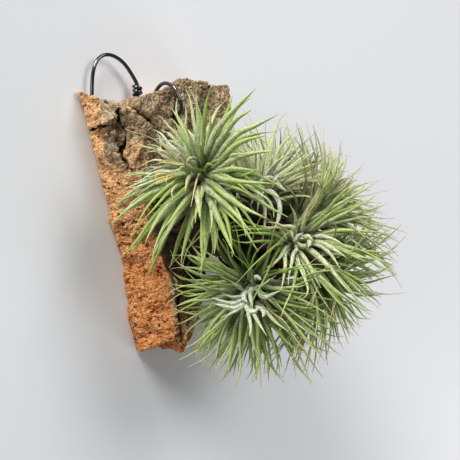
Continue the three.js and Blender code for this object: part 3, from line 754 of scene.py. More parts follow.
class Grower:
    """Grows all the rosettes' leaves together, from the youngest to the oldest"""

    # The part of a round at which leaves are grown, the gaps that they keep to other rosettes' leaves and to
    # those of their own, and their width, as a share of a main leaf's
    ROUNDS = ((0.0, 0.6, 1.8, 1.0), (0.5, 0.15, 1.0, 0.9), (0.25, 0.1, 0.75, 0.75), (0.75, 0.1, 0.75, 0.7))

    def __init__(self):
        self.taken = TakenSpace()
        self.leaves = {rosette.name: [] for rosette in ROSETTES}
        for number, rosette in enumerate(ROSETTES):
            heights = np.arange(-1, STEM_LENGTH, 2)
            points = rosette.foot + np.outer(heights, rosette.towards)
            self.taken.add(points, number, 0, STEM_RADIUS)

    def grow_all(self, extra):
        most = max(rosette.leaves for rosette in ROSETTES)
        for turn, (part, *room) in enumerate(self.ROUNDS[:1 + extra]):
            for place in range(most):
                for number, rosette in enumerate(ROSETTES):
                    crowded = turn > 0 and place < 1.3 * rosette.open_eye
                    if place < rosette.leaves and turn < rosette.rounds and not crowded:
                        self.grow(number, rosette, turn, place + part, *room)

    def grow(self, number, rosette, turn, place, others_gap, own_gap, breadth):
        """Grows one more leaf, as far outwards and as long as its neighbours leave room for"""
        seed = number + 1
        age = place / (rosette.leaves - 1) + 0.05 * (draw(seed, place + 200) - 0.5)
        age = min(max(age, 0), 1)
        reach = rosette.reach * lerp(0.55, 1, min(1, 2 * age)) * lerp(0.9, 1.06, draw(seed, place + 100))
        width = rosette.width * lerp(0.7, 1, min(1, 2.5 * age)) * lerp(0.9, 1.04, draw(seed, place + 300))
        width *= breadth
        halves = width * taper(SHARES) / 2
        near = self.taken.near(rosette, rosette.outward(place * GOLDEN_ANGLE), reach)
        own = near[:, 3] == number
        apart = halves[:, None] + near[:, 5] + others_gap
        apart[:, own] = own_gap
        apart[np.logical_and(own, np.minimum(SHARES[:, None], near[:, 4]) < ROOT_SHARE)] = 0
        near_squares = (near[:, :3] ** 2).sum(axis=1)
        # A leaf without room stands more upright, swings a little to one side, or else is shorter
        for part in (1, 0.86, 0.72):
            for lean in np.arange(1, 0.35, -0.08):
                for swing in (0, 5, -5):
                    outward = rosette.outward(place * GOLDEN_ANGLE + swing)
                    start, end = lerp(8, 62, age) * lean, lerp(16, 138, age) * lean
                    line = leaf_line(rosette, outward, age, reach * part, start, end)
                    tested = straightened(line)
                    past_root = SHARES >= ROOT_SHARE
                    if (clearance(tested)[past_root] <= halves[past_root] + TOUCH_GAP).any():
                        continue
                    squares = (tested ** 2).sum(axis=1)[:, None] + near_squares - 2 * tested @ near[:, :3].T
                    if (squares < apart ** 2).any():
                        continue
                    self.taken.add(tested, number, SHARES, halves)
                    self.leaves[rosette.name].append(Leaf(line, outward, age, width, place, turn))
                    return


def in_picture(outward):
    """A way out from a rosette's axis, as the picture shows it"""
    return unit((outward @ PICTURE_RIGHT, outward[1]))


def share_towards(way, outward, edge=0.7):
    """How far a way out lies within the sector of the picture round another, from 0 to 1"""
    return min(max((in_picture(outward) @ unit(way) - edge) / 0.2, 0), 1) if way else 0


def within_box(line):
    """A leaf's line, drawn in towards its root where it would reach out of the clump's box"""
    steps = line - line[0]
    room = np.where(steps > 0, BOX[1] - line[0], line[0] - BOX[0])
    return line[0] + steps * min(1, np.min(room / np.maximum(np.abs(steps), 0.001)))


def standing(rosette, leaf):
    """Whether a grown leaf is there: none over an open eye or on a bare side, and the later ones are thinned"""
    if any(in_picture(leaf.outward) @ unit(way) > narrowness for way, narrowness in rosette.bare):
        return False
    if share_towards(rosette.shaded, leaf.outward, 0.6) and leaf.turn and draw(7, leaf.place + 700) < 0.55:
        return False
    if not rosette.frosted:
        if leaf.turn > 1 and draw(6, leaf.place + 700) < 0.2:
            return False
    elif not share_towards(rosette.frosted, leaf.outward):
        missing = 0.5 if in_picture(leaf.outward)[1] < 0 else 0.15
        if leaf.turn > 1 or leaf.turn == 1 and draw(5, leaf.place + 700) < missing:
            return False
    return leaf.place >= rosette.open_eye


def leaf_outline(shares):
    """A living leaf keeps its width for longer than its solid does"""
    rising = lerp(0.75, 1, shares / 0.3)
    return np.where(shares < 0.3, rising, np.maximum(1 - (shares - 0.3) / 0.7, 0) ** 0.72)


def living_leaf(rosette, seed, leaf, settings):
    """The chain of one leaf, with the bends, the sag, the twist and the waves that set it apart"""
    place, age, outward, line = leaf.place, leaf.age, leaf.outward, leaf.line
    beside = unit(np.cross(rosette.towards, outward))
    reach = np.linalg.norm(np.diff(line, axis=0), axis=1).sum()
    frosted = share_towards(rosette.frosted, outward)
    width = leaf.width * (1.12 if leaf.turn > 1 else 1) * (1 - 0.18 * frosted)
    silver = rosette.silver + 1.0 * frosted + 0.5 * (draw(seed, place + 570) - 0.5)
    silver += rosette.young_silver * max(0, 0.3 - age) / 0.3
    # In the others' shade, leaves are narrower and have less bloom and a lower tone: painted shade
    shaded = share_towards(rosette.shaded, outward, 0.6)
    width *= 1 - 0.3 * shaded
    silver -= 0.45 * shaded

    # Young leaves spread out from the eye more than their solids do
    line = bent(line, beside, math.radians(rosette.spread) * max(0, 1 - age / 0.6) * SHARES ** 0.7)
    stunted = share_towards(rosette.shorter, outward, 0.5)
    line = line[0] + (line - line[0]) * (1 - 0.22 * frosted - 0.18 * stunted)
    upward = upper_side(line, beside)
    bow = 0.45 * rosette.unruly * reach * (draw(seed, place + 500) - 0.5) * SHARES ** 2
    sag = 0.16 * reach * (draw(seed, place + 510) - 0.5) * SHARES ** 2
    weight = rosette.weight * reach * (1 - in_picture(outward)[1] ** 2) * SHARES ** 2.2
    weight = weight * lerp(0.2, 1, draw(seed, place + 515))
    wave = 0.35 * np.sin(SHARES * lerp(4, 9, draw(seed, place + 520)) + 6 * draw(seed, place + 540))
    wave += 0.15 * np.sin(SHARES * lerp(12, 20, draw(seed, place + 525)) + 6 * draw(seed, place + 545))
    wave = wave * rosette.unruly * (1 + 1.8 * frosted)
    hook = 0.2 * rosette.unruly * reach * (draw(seed, place + 530) - 0.5) * SHARES ** 7
    line = line + np.outer(bow + hook + wave * SHARES, beside) + upward * sag[:, None]
    line = within_box(line - np.outer(weight, (0, 1, 0)))
    twist = np.radians(80) * (draw(seed, place + 560) - 0.5) * SHARES
    sides = beside * np.cos(twist)[:, None] + upward * np.sin(twist)[:, None]
    return Chain(
        line, sides, np.maximum(settings.breadth * width * leaf_outline(SHARES) / 2, 0.1),
        plump=lerp(settings.plumpness, 0.9, SHARES ** 2),
        channel=lerp(settings.channel, 0.0, SHARES ** 1.5),
        silver=silver, tone=draw(seed, place + 580) * (1 - 0.5 * shaded), warmth=rosette.warmth,
        dry=rosette.dryness * draw(seed, place + 600) - 0.04,
    )


def bent(line, beside, angles):
    """A line whose steps are turned further out by growing angles"""
    steps = np.diff(line, axis=0)
    angles = (angles[1:] + angles[:-1])[:, None] / 2
    steps = steps * np.cos(angles) + np.cross(beside, steps) * np.sin(angles)
    return np.vstack([line[0], line[0] + np.cumsum(steps, axis=0)])


def upper_side(line, beside):
    """The way that a leaf's upper face looks at each point of its line"""
    upward = np.cross(beside, np.gradient(line, axis=0))
    return upward / np.linalg.norm(upward, axis=1)[:, None]


def smooth_route(points):
    """Even steps along a smooth line through a few points"""
    points = np.asarray(points, float)
    padded = np.vstack([2 * points[0] - points[1], points, 2 * points[-1] - points[-2]])
    places = SHARES * (len(points) - 1)
    which = np.minimum(places.astype(int), len(points) - 2)
    part = (places - which)[:, None]
    a, b, c, d = (padded[which + shift] for shift in range(4))
    return b + 0.5 * part * (c - a + part * (2 * a - 5 * b + 4 * c - d + part * (3 * (b - c) + d - a)))


def curl(rosette, half_width, silver, dry, points):
    """A leaf that is placed by its route in the picture, and lies over the others"""
    across, up = smooth_route(points).T
    apart = np.hypot(across, up)
    out = 4.5 * SHARES ** 0.5 - 1.5 + rosette.lift * np.minimum(apart, 12)
    out += 0.4 * np.maximum(apart - 12, 0)
    line = rosette.foot + rosette.towards * 14
    line = line + np.outer(across, PICTURE_RIGHT) + np.outer(up, (0, 1, 0)) + np.outer(out, PICTURE_OUT)
    line = within_box(line)
    sides = np.cross(PICTURE_OUT, np.gradient(line, axis=0))
    sides /= np.linalg.norm(sides, axis=1)[:, None]
    outline = leaf_outline(SHARES) if half_width > BROAD else 1 - SHARES ** (4.5 if silver > 1.35 else 2.4)
    halves = np.maximum(half_width * outline, 0.12)
    return Chain(line, sides, halves, 0.3 if dry == 1 else 0.8, 0.5, silver=silver, tone=0.6, dry=dry - 0.02)


def heart(rosette):
    """The stem inside a rosette, which the leaves' roots are sunk into, as [height, radius] up its axis"""
    profile = np.array(((-2.5, 0.3), (-1, 3.4), (3, 4.6), (9, 3.6), (13, 1.8), (15, 0.3)))
    heights = np.linspace(-2.5, 15, 13)
    points = rosette.foot + np.outer(heights, rosette.towards)
    return Chain(points, rosette.first, np.interp(heights, *profile.T), 1.0, 0.0, silver=0.5, tone=0.3)


# Materials


def new_material(name, numbers):
    """A material, its nodes' maker, its shader with some numbers set, and the place that patterns read"""
    material = bpy.data.materials.new(name)
    material.use_nodes = True
    shader = material.node_tree.nodes["Principled BSDF"]
    for key, value in numbers.items():
        shader.inputs[key].default_value = value
    nodes = Nodes(material.node_tree)
    return material, nodes, shader, nodes.add("ShaderNodeTexCoord", output="Object")


def rgba(colour):
    return (*colour, 1.0)


def attribute(nodes, name):
    return nodes.add("ShaderNodeAttribute", output="Fac", attribute_name=name)


def bump(nodes, shader, height, distance, strength=1.0):
    inputs = {"Height": height, "Distance": distance, "Strength": strength}
    nodes.tree.links.new(nodes.add("ShaderNodeBump", inputs), shader.inputs["Normal"])


def painted_hollow_shade(nodes, place, colour):
    """A colour darkened in the hollow between the rosettes: painted shade, where little light gets in"""
    gone = nodes.step(nodes.distance(place, HOLLOW), 12 * MM, 18 * MM, 0.8, 0.0)
    return nodes.blend(gone, colour, (0.014, 0.018, 0.006, 1))


def leaf_material(settings):
    """Green skin under silvery scales, with frosted margins that are a painted highlight, painted light on the
    palest rosettes, painted shade at the roots and in the hollow, a yellowed patch and dried tips
    """
    numbers = {"Roughness": 0.55, "Sheen Weight": 0.15, "Specular IOR Level": 0.35}
    material, nodes, shader, place = new_material("Leaf", numbers)
    along, across, silver, warmth = (attribute(nodes, name) for name in ("along", "across", "silver", "warmth"))
    tone, dry, down = (attribute(nodes, name) for name in ("tone", "dry", "down"))
    mottle = nodes.noise(place, 3 * MM, 3)
    scales = nodes.noise(place, 0.6 * MM, 4, 0.7)
    inputs = {0: across, 1: nodes.times(along, 2.2), 2: nodes.times(tone, 60.0)}
    streaks = nodes.noise(nodes.add("ShaderNodeCombineXYZ", inputs), 0.3, 4, 0.7)
    light = nodes.plus(nodes.times(tone, 0.6), nodes.times(mottle, 0.4))
    light = nodes.plus(light, nodes.step(along, 0.2, 0.9, -0.2, 0.4))
    skin = nodes.blend(nodes.step(light, 0.1, 0.95), rgba(settings.green), rgba(settings.bright))
    # The warmer rosettes are paler towards the tips: painted light where they stand in the most light
    paled = nodes.times(warmth, nodes.step(along, 0.1, 0.8, 0.3, 1.0))
    skin = nodes.blend(paled, skin, rgba(settings.pale))
    cover = nodes.plus(silver, nodes.step(along, 0.0, 0.8, 0.45, 0.05))
    cover = nodes.plus(cover, nodes.step(down, -0.6, 0.7, 0.0, 0.2))
    cover = nodes.times(cover, nodes.step(scales, 0.4, 0.6, 0.15, 1.5))
    cover = nodes.times(cover, nodes.step(streaks, 0.35, 0.65, 0.1, 1.5))
    # The margins get more bloom: a painted highlight along them
    edge = nodes.step(nodes.math("ABSOLUTE", across), 0.6, 0.95)
    cover = nodes.plus(cover, nodes.times(edge, nodes.step(silver, -0.3, 0.2, 0.0, 0.35)))
    frost = nodes.blend(nodes.step(silver, 0.8, 1.5), rgba(settings.bloom), rgba(settings.white))
    frost = nodes.blend(nodes.step(tone, 1.0, 0.0, 0.0, 0.5), frost, (0.36, 0.38, 0.22, 1))
    colour = nodes.blend(cover, skin, frost)
    # Darker towards the roots, but for the most silvery leaves: painted shade among the leaves' bases
    painted_root_shade = nodes.times(nodes.step(along, 0.05, 0.3, 0.8, 0.0), nodes.step(silver, 1.3, 0.9))
    colour = nodes.blend(painted_root_shade, colour, (0.025, 0.035, 0.008, 1))
    patch = nodes.distance(place, (-30.5, 20, 41))
    patch = nodes.step(nodes.plus(patch, nodes.times(mottle, 4 * MM)), 10 * MM, 6 * MM)
    colour = nodes.blend(nodes.times(patch, 0.7), colour, (0.62, 0.42, 0.05, 1))
    end = nodes.minus(along, nodes.minus(1.0, dry))
    withered = nodes.blend(nodes.step(streaks, 0.35, 0.6), rgba(settings.dry), (0.75, 0.62, 0.38, 1))
    colour = nodes.blend(nodes.step(end, -0.08, 0.03), colour, withered)
    nodes.tree.links.new(painted_hollow_shade(nodes, place, colour), shader.inputs["Base Color"])
    bump(nodes, shader, scales, 0.2 * MM, 0.8)
    return material


def dead_leaf_material(settings):
    """Papery straw, streaked along its length, with painted shade in the hollow between the rosettes"""
    material, nodes, shader, place = new_material("Dead leaf", {"Roughness": 0.75})
    along, tone = attribute(nodes, "along"), attribute(nodes, "tone")
    streaks = nodes.noise(place, 1.2 * MM, 4, 0.65)
    age = nodes.plus(nodes.times(tone, 0.8), nodes.times(streaks, 0.5))
    age = nodes.minus(age, nodes.times(along, 0.25))
    colour = nodes.blend(nodes.step(age, 0.2, 1.0), rgba(settings.straw), rgba(settings.wood))
    paled = nodes.blend(nodes.step(streaks, 0.4, 0.65), (0.72, 0.6, 0.38, 1), (0.5, 0.32, 0.14, 1))
    colour = nodes.blend(attribute(nodes, "dry"), colour, paled)
    nodes.tree.links.new(painted_hollow_shade(nodes, place, colour), shader.inputs["Base Color"])
    bump(nodes, shader, streaks, 0.25 * MM)
    return material


def root_material(settings):
    """Dark wiry roots with paler ends"""
    material, nodes, shader, place = new_material("Root", {"Roughness": 0.8})
    along, tone = attribute(nodes, "along"), attribute(nodes, "tone")
    grain = nodes.noise(place, 0.8 * MM, 3)
    pale = nodes.times(nodes.times(along, tone), nodes.plus(grain, 0.4))
    colour = nodes.blend(pale, rgba(settings.wood), rgba(settings.straw))
    nodes.tree.links.new(colour, shader.inputs["Base Color"])
    bump(nodes, shader, grain, 0.15 * MM)
    return material


def stem_material(settings):
    """Dark fibrous wood with shreds of dead leaf, and painted shade in the hollow between the rosettes"""
    material, nodes, shader, place = new_material("Old stem", {"Roughness": 0.9})
    drawn_out = nodes.vector("MULTIPLY", place, (1.0, 1.0, 0.3))
    fibres = nodes.noise(drawn_out, 0.9 * MM, 5, 0.7)
    blotches = nodes.noise(place, 5 * MM, 3)
    mixture = nodes.times(nodes.step(fibres, 0.45, 0.75), nodes.step(blotches, 0.4, 0.65))
    colour = nodes.blend(nodes.times(mixture, 0.6), rgba(settings.wood), rgba(settings.straw))
    nodes.tree.links.new(painted_hollow_shade(nodes, place, colour), shader.inputs["Base Color"])
    bump(nodes, shader, fibres, 0.6 * MM)
    return material


def cork_relief(nodes, place, size):
    """Grains of cork with pits among them: the grains' height and shade, and how deep the pits are"""
    grains = nodes.cells(place, size).node.outputs
    shade = nodes.axes(grains["Color"])[0]
    pit = 0.0
    for factor, low, high, share, depth in ((2.6, 0.12, 0.34, 0.16, 1.0), (1.5, 0.14, 0.36, 0.25, 0.6)):
        hollows = nodes.cells(place, factor * size).node.outputs
        chosen = nodes.step(nodes.axes(hollows["Color"])[0], share + 0.04, share - 0.04)
        hollow = nodes.step(hollows["Distance"], high, low, 0.0, depth)
        pit = nodes.most(pit, nodes.times(hollow, chosen))
    clefts = nodes.step(nodes.noise(place, 2.6 * size, 3, 0.6), 0.42, 0.33, 0.0, 0.6)
    pit = nodes.most(pit, clefts)
    return nodes.minus(0.4, grains["Distance"]), shade, pit


def cork_material(settings):
    """Orange granular cork under a grey brown crust, with dark pits, painted light towards the top, and painted
    shade in the cracks and closed-in hollows
    """
    numbers = {"Roughness": 0.92, "Specular IOR Level": 0.2}
    material, nodes, shader, place = new_material("Cork", numbers)
    warped = nodes.add("ShaderNodeAttribute", output="Vector", attribute_name="warped")
    crust, cavity = attribute(nodes, "crust"), attribute(nodes, "cavity")
    grains, shade, pit = cork_relief(nodes, warped, settings.grain)
    patches = nodes.noise(place, 6 * MM, 4, 0.6)
    speckle = nodes.noise(place, 0.6 * MM, 4, 0.75)
    _, y, _ = nodes.axes(place)
    # Paler towards the top as painted light from above, and paler in random patches and grains
    pale_tone_and_painted_light = nodes.plus(nodes.step(y, -20 * MM, 36 * MM, 0.0, 0.95), nodes.times(patches, 0.5))
    pale_tone_and_painted_light = nodes.plus(pale_tone_and_painted_light, nodes.times(shade, 0.55))
    bright = nodes.blend(nodes.step(pale_tone_and_painted_light, 0.1, 1.2), rgba(settings.inner), (1.0, 0.6, 0.31, 1))
    bright = nodes.blend(nodes.step(speckle, 0.5, 0.36, 0.0, 0.45), bright, (0.42, 0.14, 0.03, 1))
    grey = nodes.plus(nodes.times(shade, 0.5), nodes.times(patches, 0.9))
    weathered = nodes.blend(nodes.step(grey, 0.35, 1.05), rgba(settings.crust), (0.68, 0.52, 0.34, 1))
    weathered = nodes.blend(nodes.step(speckle, 0.5, 0.66, 0.0, 0.7), weathered, (0.15, 0.1, 0.06, 1))
    worn = nodes.distance(place, (-31.5, 41.5, 13))
    weathered = nodes.blend(nodes.step(worn, 8 * MM, 4.5 * MM, 0.0, 0.85), weathered, (0.7, 0.54, 0.34, 1))
    colour = nodes.blend(crust, bright, weathered)
    # Darker in the pits, and painted shade in the closed-in hollows
    pits_and_painted_shade = nodes.times(pit, nodes.minus(1.0, nodes.times(crust, 0.55)))
    deep = nodes.step(nodes.minus(cavity, nodes.times(crust, 0.1)), 0.45, 1.0)
    pits_and_painted_shade = nodes.most(nodes.times(pits_and_painted_shade, 0.85), deep)
    # The deep cracks' insides are painted dark as shade
    pits_and_painted_shade = nodes.most(pits_and_painted_shade, nodes.step(attribute(nodes, "split"), 0.3, 0.8))
    colour = nodes.blend(pits_and_painted_shade, colour, rgba(settings.dark))
    nodes.tree.links.new(colour, shader.inputs["Base Color"])
    height = nodes.plus(nodes.times(grains, 0.9), nodes.times(speckle, 0.6))
    bump(nodes, shader, nodes.minus(height, pit), 0.9 * MM)
    return material


def wire_material(settings):
    """Glossy black coating, a little scuffed"""
    numbers = {"Specular IOR Level": 0.9, "Coat Weight": 1.0, "Coat Roughness": 0.1, "Coat IOR": 1.6}
    material, nodes, shader, place = new_material("Wire", numbers)
    scuffs = nodes.noise(place, 2.5 * MM, 4, 0.6)
    nodes.tree.links.new(nodes.step(scuffs, 0.4, 0.75, 0.12, 0.3), shader.inputs["Roughness"])
    worn = nodes.blend(nodes.step(scuffs, 0.6, 0.8, 0.0, 0.3), rgba(settings.coating), (0.05, 0.05, 0.055, 1))
    nodes.tree.links.new(worn, shader.inputs["Base Color"])
    bump(nodes, shader, scuffs, 0.03 * MM)
    return material


def floor_material(settings):
    """Plain matt board"""
    numbers = {"Roughness": 0.85, "Specular IOR Level": 0.1, "Base Color": rgba(settings.floor)}
    material, nodes, shader, place = new_material("Floor", numbers)
    bump(nodes, shader, nodes.noise(place, 1.5 * MM, 2), 0.01 * MM)
    return material


# The cork bark


def cork_tree(grain):
    """Roughens the bark but for its back: grains and pits on its broken sides, lumps and cracks on its crust"""
    sockets = {"Grain Depth": "Float", "Pit Depth": "Float", "Crust Depth": "Float", "Material": "Material"}
    tree, nodes, given = new_tree("Cork", sockets)
    place = nodes.add("GeometryNodeInputPosition")
    normal = nodes.add("GeometryNodeInputNormal")
    _, y, z = nodes.axes(place)
    warp = nodes.noise(place, 3 * MM, 5, 0.65).node.outputs["Color"]
    warped = nodes.vector("ADD", place, nodes.scaled(warp, 3.5 * MM))
    uneven = nodes.noise(place, 7 * MM, 4, 0.6)

    # The crust lies on the face, and comes down the left side towards the top
    shore = nodes.step(y, 17 * MM, 23 * MM, 19.5 * MM, 8 * MM)
    shore = nodes.plus(shore, nodes.step(y, 33 * MM, 36 * MM, 0, 3 * MM))
    shore = nodes.plus(shore, nodes.times(nodes.minus(uneven, 0.5), 7 * MM))
    crust = nodes.step(nodes.minus(z, shore), -0.6 * MM, 0.8 * MM)

    # It is worn off in spots: their middle, inner and outer radius, and how much of it is left there
    spots = (
        ((-22.5, 24.5, 20), 4.5, 7.5, 0.4),
        ((-26.4, 44.5, 17.2), 2.6, 4.2, 0.0),
        ((34, 50, 16), 6, 9, 0.0),
    )
    for spot, inner, outer, left in spots:
        gone = nodes.distance(place, spot)
        crust = nodes.times(crust, nodes.step(gone, inner * MM, outer * MM, left, 1.0))
    _, normal_y, normal_z = nodes.axes(normal)
    crust = nodes.most(crust, nodes.step(normal_y, 0.7, 0.95))

    grains, _, pit = cork_relief(nodes, warped, grain)
    plates = nodes.cells(warped, 7 * MM, "DISTANCE_TO_EDGE")
    crack = nodes.times(nodes.step(plates, 0.07, 0.01, 0.0, 0.7), crust)
    ragged = nodes.times(nodes.minus(nodes.noise(place, 2.5 * MM, 3, 0.7), 0.5), 2.4 * MM)
    split = nodes.step(nodes.plus(named(nodes, "crack_gap"), ragged), 0.5 * MM, -0.6 * MM)
    pit = nodes.most(nodes.times(pit, nodes.step(crust, 0.0, 1.0, 1.0, 0.35)), crack)
    height = nodes.times(grains, given["Grain Depth"])
    height = nodes.minus(height, nodes.times(pit, given["Pit Depth"]))
    fine = nodes.minus(nodes.noise(place, 1.6 * MM, 3, 0.7), 0.5)
    height = nodes.plus(height, nodes.times(fine, 1.4 * MM))
    lumps = nodes.times(nodes.minus(uneven, 0.5), given["Crust Depth"])
    height = nodes.plus(height, nodes.times(lumps, nodes.step(crust, 0.0, 1.0, 3.8, 2.0)))
    height = nodes.minus(height, nodes.times(split, 1.2 * MM))
    swell = nodes.step(named(nodes, "narrowed_gap"), 6 * MM, 3.5 * MM, 0.0, 1.1 * MM)
    height = nodes.plus(height, swell)
    back = nodes.times(nodes.step(normal_z, -0.75, -0.95), nodes.step(z, 1.5 * MM, 0.6 * MM))
    height = nodes.times(height, nodes.minus(1.0, back))
    shape = stored(nodes, given["Geometry"], "crust", crust)
    shape = stored(nodes, shape, "warped", warped, "FLOAT_VECTOR")
    shape = stored(nodes, shape, "split", split)
    shape = nodes.add("GeometryNodeSetPosition", {"Geometry": shape, "Offset": nodes.scaled(normal, height)})
    low = nodes.vector("MAXIMUM", nodes.add("GeometryNodeInputPosition"), (-1.0, -1.0, 0.0))
    shape = nodes.add("GeometryNodeSetPosition", {"Geometry": shape, "Position": low})
    end_tree(nodes, shape, given["Material"])
    return tree


def store_crack_gaps(mesh):
    """Stores how far each point is from the nearest deep crack's side, and from the crack that is narrowed"""
    places = np.empty(3 * len(mesh.vertices))
    mesh.vertices.foreach_get("co", places)
    places = places.reshape(-1, 3) / MM
    gaps = np.full(len(places), 99.0)
    squash = np.identity(3) - 0.85 * np.outer(PICTURE_OUT, PICTURE_OUT)
    for half_width, route in CRACKS:
        for start, end in zip(route, route[1:]):
            gap = bar_distance(places @ squash, start @ squash, end @ squash, (half_width, half_width))
            gaps = np.minimum(gaps, gap)
    runs = zip(NARROWED_CRACK, NARROWED_CRACK[1:])
    narrowed = np.min([bar_distance(places, *map(np.array, run), (0, 0)) for run in runs], axis=0)
    for name, values in (("crack_gap", gaps), ("narrowed_gap", narrowed)):
        mesh.attributes.new(name, "FLOAT", "POINT").data.foreach_set("value", values * MM)


def store_cavities(piece, reach, rays=14):
    """Stores how closed in each point is, which the cork's painted shade follows: the share of short rays from
    it that meet the surface again
    """
    mesh = piece.data
    surface = BVHTree.FromObject(piece, bpy.context.evaluated_depsgraph_get())
    turns = np.arange(rays) * math.radians(GOLDEN_ANGLE)
    heights = 0.25 + 0.75 * (np.arange(rays) + 0.5) / rays
    spokes = np.column_stack([np.cos(turns), np.sin(turns)]) * np.sqrt(1 - heights ** 2)[:, None]
    cavities = []
    for vertex in mesh.vertices:
        normal = vertex.normal
        start = vertex.co + normal * 0.15 * MM
        side = normal.orthogonal().normalized()
        other = normal.cross(side)
        hits = 0
        for (a, b), height in zip(spokes, heights):
            hits += surface.ray_cast(start, side * a + other * b + normal * height, reach)[0] is not None
        cavities.append(hits / rays)
    mesh.attributes.new("cavity", "FLOAT", "POINT").data.foreach_set("value", cavities)


class OBJECT_OT_make_cork(bpy.types.Operator):
    """Makes the wedge of raw cork bark that the plants grow on"""

    bl_idname = "object.air_plant_cork"
    bl_label = "Cork Bark"

    def execute(self, context):
        settings = context.scene.air_plant_clump.cork
        mesh = remeshed("cork_bark", settings.voxel)
        values = {
            "Grain Depth": settings.grain_depth,
            "Pit Depth": settings.pit_depth,
            "Crust Depth": settings.crust_depth,
            "Material": cork_material(settings),
        }
        store_crack_gaps(mesh)
        bark = grown("bark", mesh, cork_tree(settings.grain), values)
        store_cavities(bark, 7 * MM)
        dress(bark, "cork_bark")
        return {"FINISHED"}


# The hanging wire


def wire_tree():
    """Draws a smooth round wire along a rough route"""
    tree, nodes, given = new_tree("Wire", {"Radius": "Float", "Step": "Float", "Material": "Material"})
    curves = nodes.add("GeometryNodeMeshToCurve", {"Mesh": given["Geometry"]})
    curves = nodes.add("GeometryNodeCurveSplineType", {"Curve": curves}, spline_type="CATMULL_ROM")
    curves = nodes.add("GeometryNodeSetSplineResolution", {"Geometry": curves, "Resolution": 8})
    inputs = {"Curve": curves, "Length": given["Step"]}
    curves = nodes.add("GeometryNodeResampleCurve", inputs, mode="LENGTH")
    section = nodes.add("GeometryNodeCurvePrimitiveCircle", {"Resolution": 14, "Radius": given["Radius"]})
    inputs = {"Curve": curves, "Profile Curve": section, "Fill Caps": True}
    end_tree(nodes, nodes.add("GeometryNodeCurveToMesh", inputs), given["Material"])
    return tree


def knot_route():
    """The wire's clipped end, which is wound round its own standing part"""
    turns = np.linspace(0, KNOT_TURNS, 1 + round(8 * KNOT_TURNS))
    angles = math.pi + 2 * math.pi * turns
    centres = KNOT_FOOT + np.outer(turns / KNOT_TURNS, KNOT_TOP - KNOT_FOOT)
    around = np.column_stack([np.cos(angles), np.zeros(len(angles)), np.sin(angles)])
    return np.vstack([TAIL_END, centres + 1.75 * WIRE_RADIUS * around])


class OBJECT_OT_make_wire(bpy.types.Operator):
    """Makes the loop of black wire, with its knot"""

    bl_idname = "object.air_plant_wire"
    bl_label = "Hanging Wire"

    def execute(self, context):
        settings = context.scene.air_plant_clump.wire
        side = (0.0, 0.0, 1.0)
        chains = [Chain(route, side, WIRE_RADIUS, 1, 0) for route in (WIRE_ROUTE, knot_route())]
        values = {"Radius": settings.radius, "Step": 0.4 * MM, "Material": wire_material(settings)}
        wire = grown("wire", chain_mesh("wire", chains), wire_tree(), values)
        dress(wire, "hanging_wire")
        return {"FINISHED"}


# The old stems, their roots and dead leaves


def stem_tree():
    """Roughens the old stems into shaggy wood"""
    tree, nodes, given = new_tree("Old stems", {"Depth": "Float", "Material": "Material"})
    place = nodes.add("GeometryNodeInputPosition")
    normal = nodes.add("GeometryNodeInputNormal")
    drawn_out = nodes.vector("MULTIPLY", place, (1.0, 1.0, 0.35))
    shag = nodes.minus(nodes.noise(drawn_out, 2.2 * MM, 5, 0.65), 0.62)
    offset = nodes.scaled(normal, nodes.times(shag, given["Depth"]))
    shape = nodes.add("GeometryNodeSetPosition", {"Geometry": given["Geometry"], "Offset": offset})
    end_tree(nodes, shape, given["Material"])
    return tree


def dead_leaf(rosette, seed, index):
    """A dead leaf that is folded back under its rosette and curled up"""
    outward = rosette.outward((rosette.leaves + index) * GOLDEN_ANGLE)
    reach = lerp(12, 24, draw(seed, index + 700))
    end = lerp(150, 260, draw(seed, index + 720))
    line = leaf_line(rosette, outward, 1.0, reach, lerp(85, 130, draw(seed, index + 740)), end, 1.2)
    line = line - rosette.towards * lerp(0, 3, draw(seed, index + 760))
    beside = unit(np.cross(rosette.towards, outward))
    halves = np.maximum(lerp(1.0, 1.9, draw(seed, index + 780)) * taper(SHARES), 0.15)
    return Chain(line, beside, halves, 0.12, 0.8, tone=draw(seed, index + 800))


def strand(rosette, seed, index):
    """A dead leaf that has withered to a thread between the living ones"""
    outward = rosette.outward(360 * draw(seed, index + 900))
    age = lerp(0.1, 0.8, draw(seed, index + 910))
    reach = rosette.reach * lerp(0.6, 0.95, draw(seed, index + 920))
    line = leaf_line(rosette, outward, age, reach, lerp(15, 60, age), lerp(30, 120, age))
    beside = unit(np.cross(rosette.towards, outward))
    bow = reach * 0.5 * (draw(seed, index + 930) - 0.5) * SHARES ** 2
    bow += lerp(0.4, 1.2, draw(seed, index + 940)) * np.sin(SHARES * lerp(6, 14, draw(seed, index + 950)))
    line = within_box(line + np.outer(bow, beside))
    halves = np.linspace(lerp(0.25, 0.5, draw(seed, index + 960)), 0.1, len(line))
    return Chain(line, beside, halves, 0.5, 0.5, tone=0.3 * draw(seed, index + 970), dry=1.0)


def root_line(surface, seed):
    """A wiry root that leaves the trunk and feels its way over the bark"""
    heading = 2 * math.pi * draw(seed, 1)
    place = STEMS_FOOT * (1, 1, 0) + np.array((13 * math.cos(heading), 15 * math.sin(heading), 26))
    points = [STEMS_FOOT + (9 * math.cos(heading), 9 * math.sin(heading), lerp(5, 13, draw(seed, 2)))]
    for step in range(round(lerp(7, 14, draw(seed, 3)))):
        found, normal, _, _ = surface.find_nearest(Vector(place) * MM)
        place = np.array(found + normal * 0.35 * MM) / MM
        points.append(place)
        heading += 0.9 * (draw(seed, step + 10) - 0.5)
        place = place + 1.7 * np.array((math.cos(heading), math.sin(heading), 0)) + (0, 0, 0.6)
    return np.array(points)


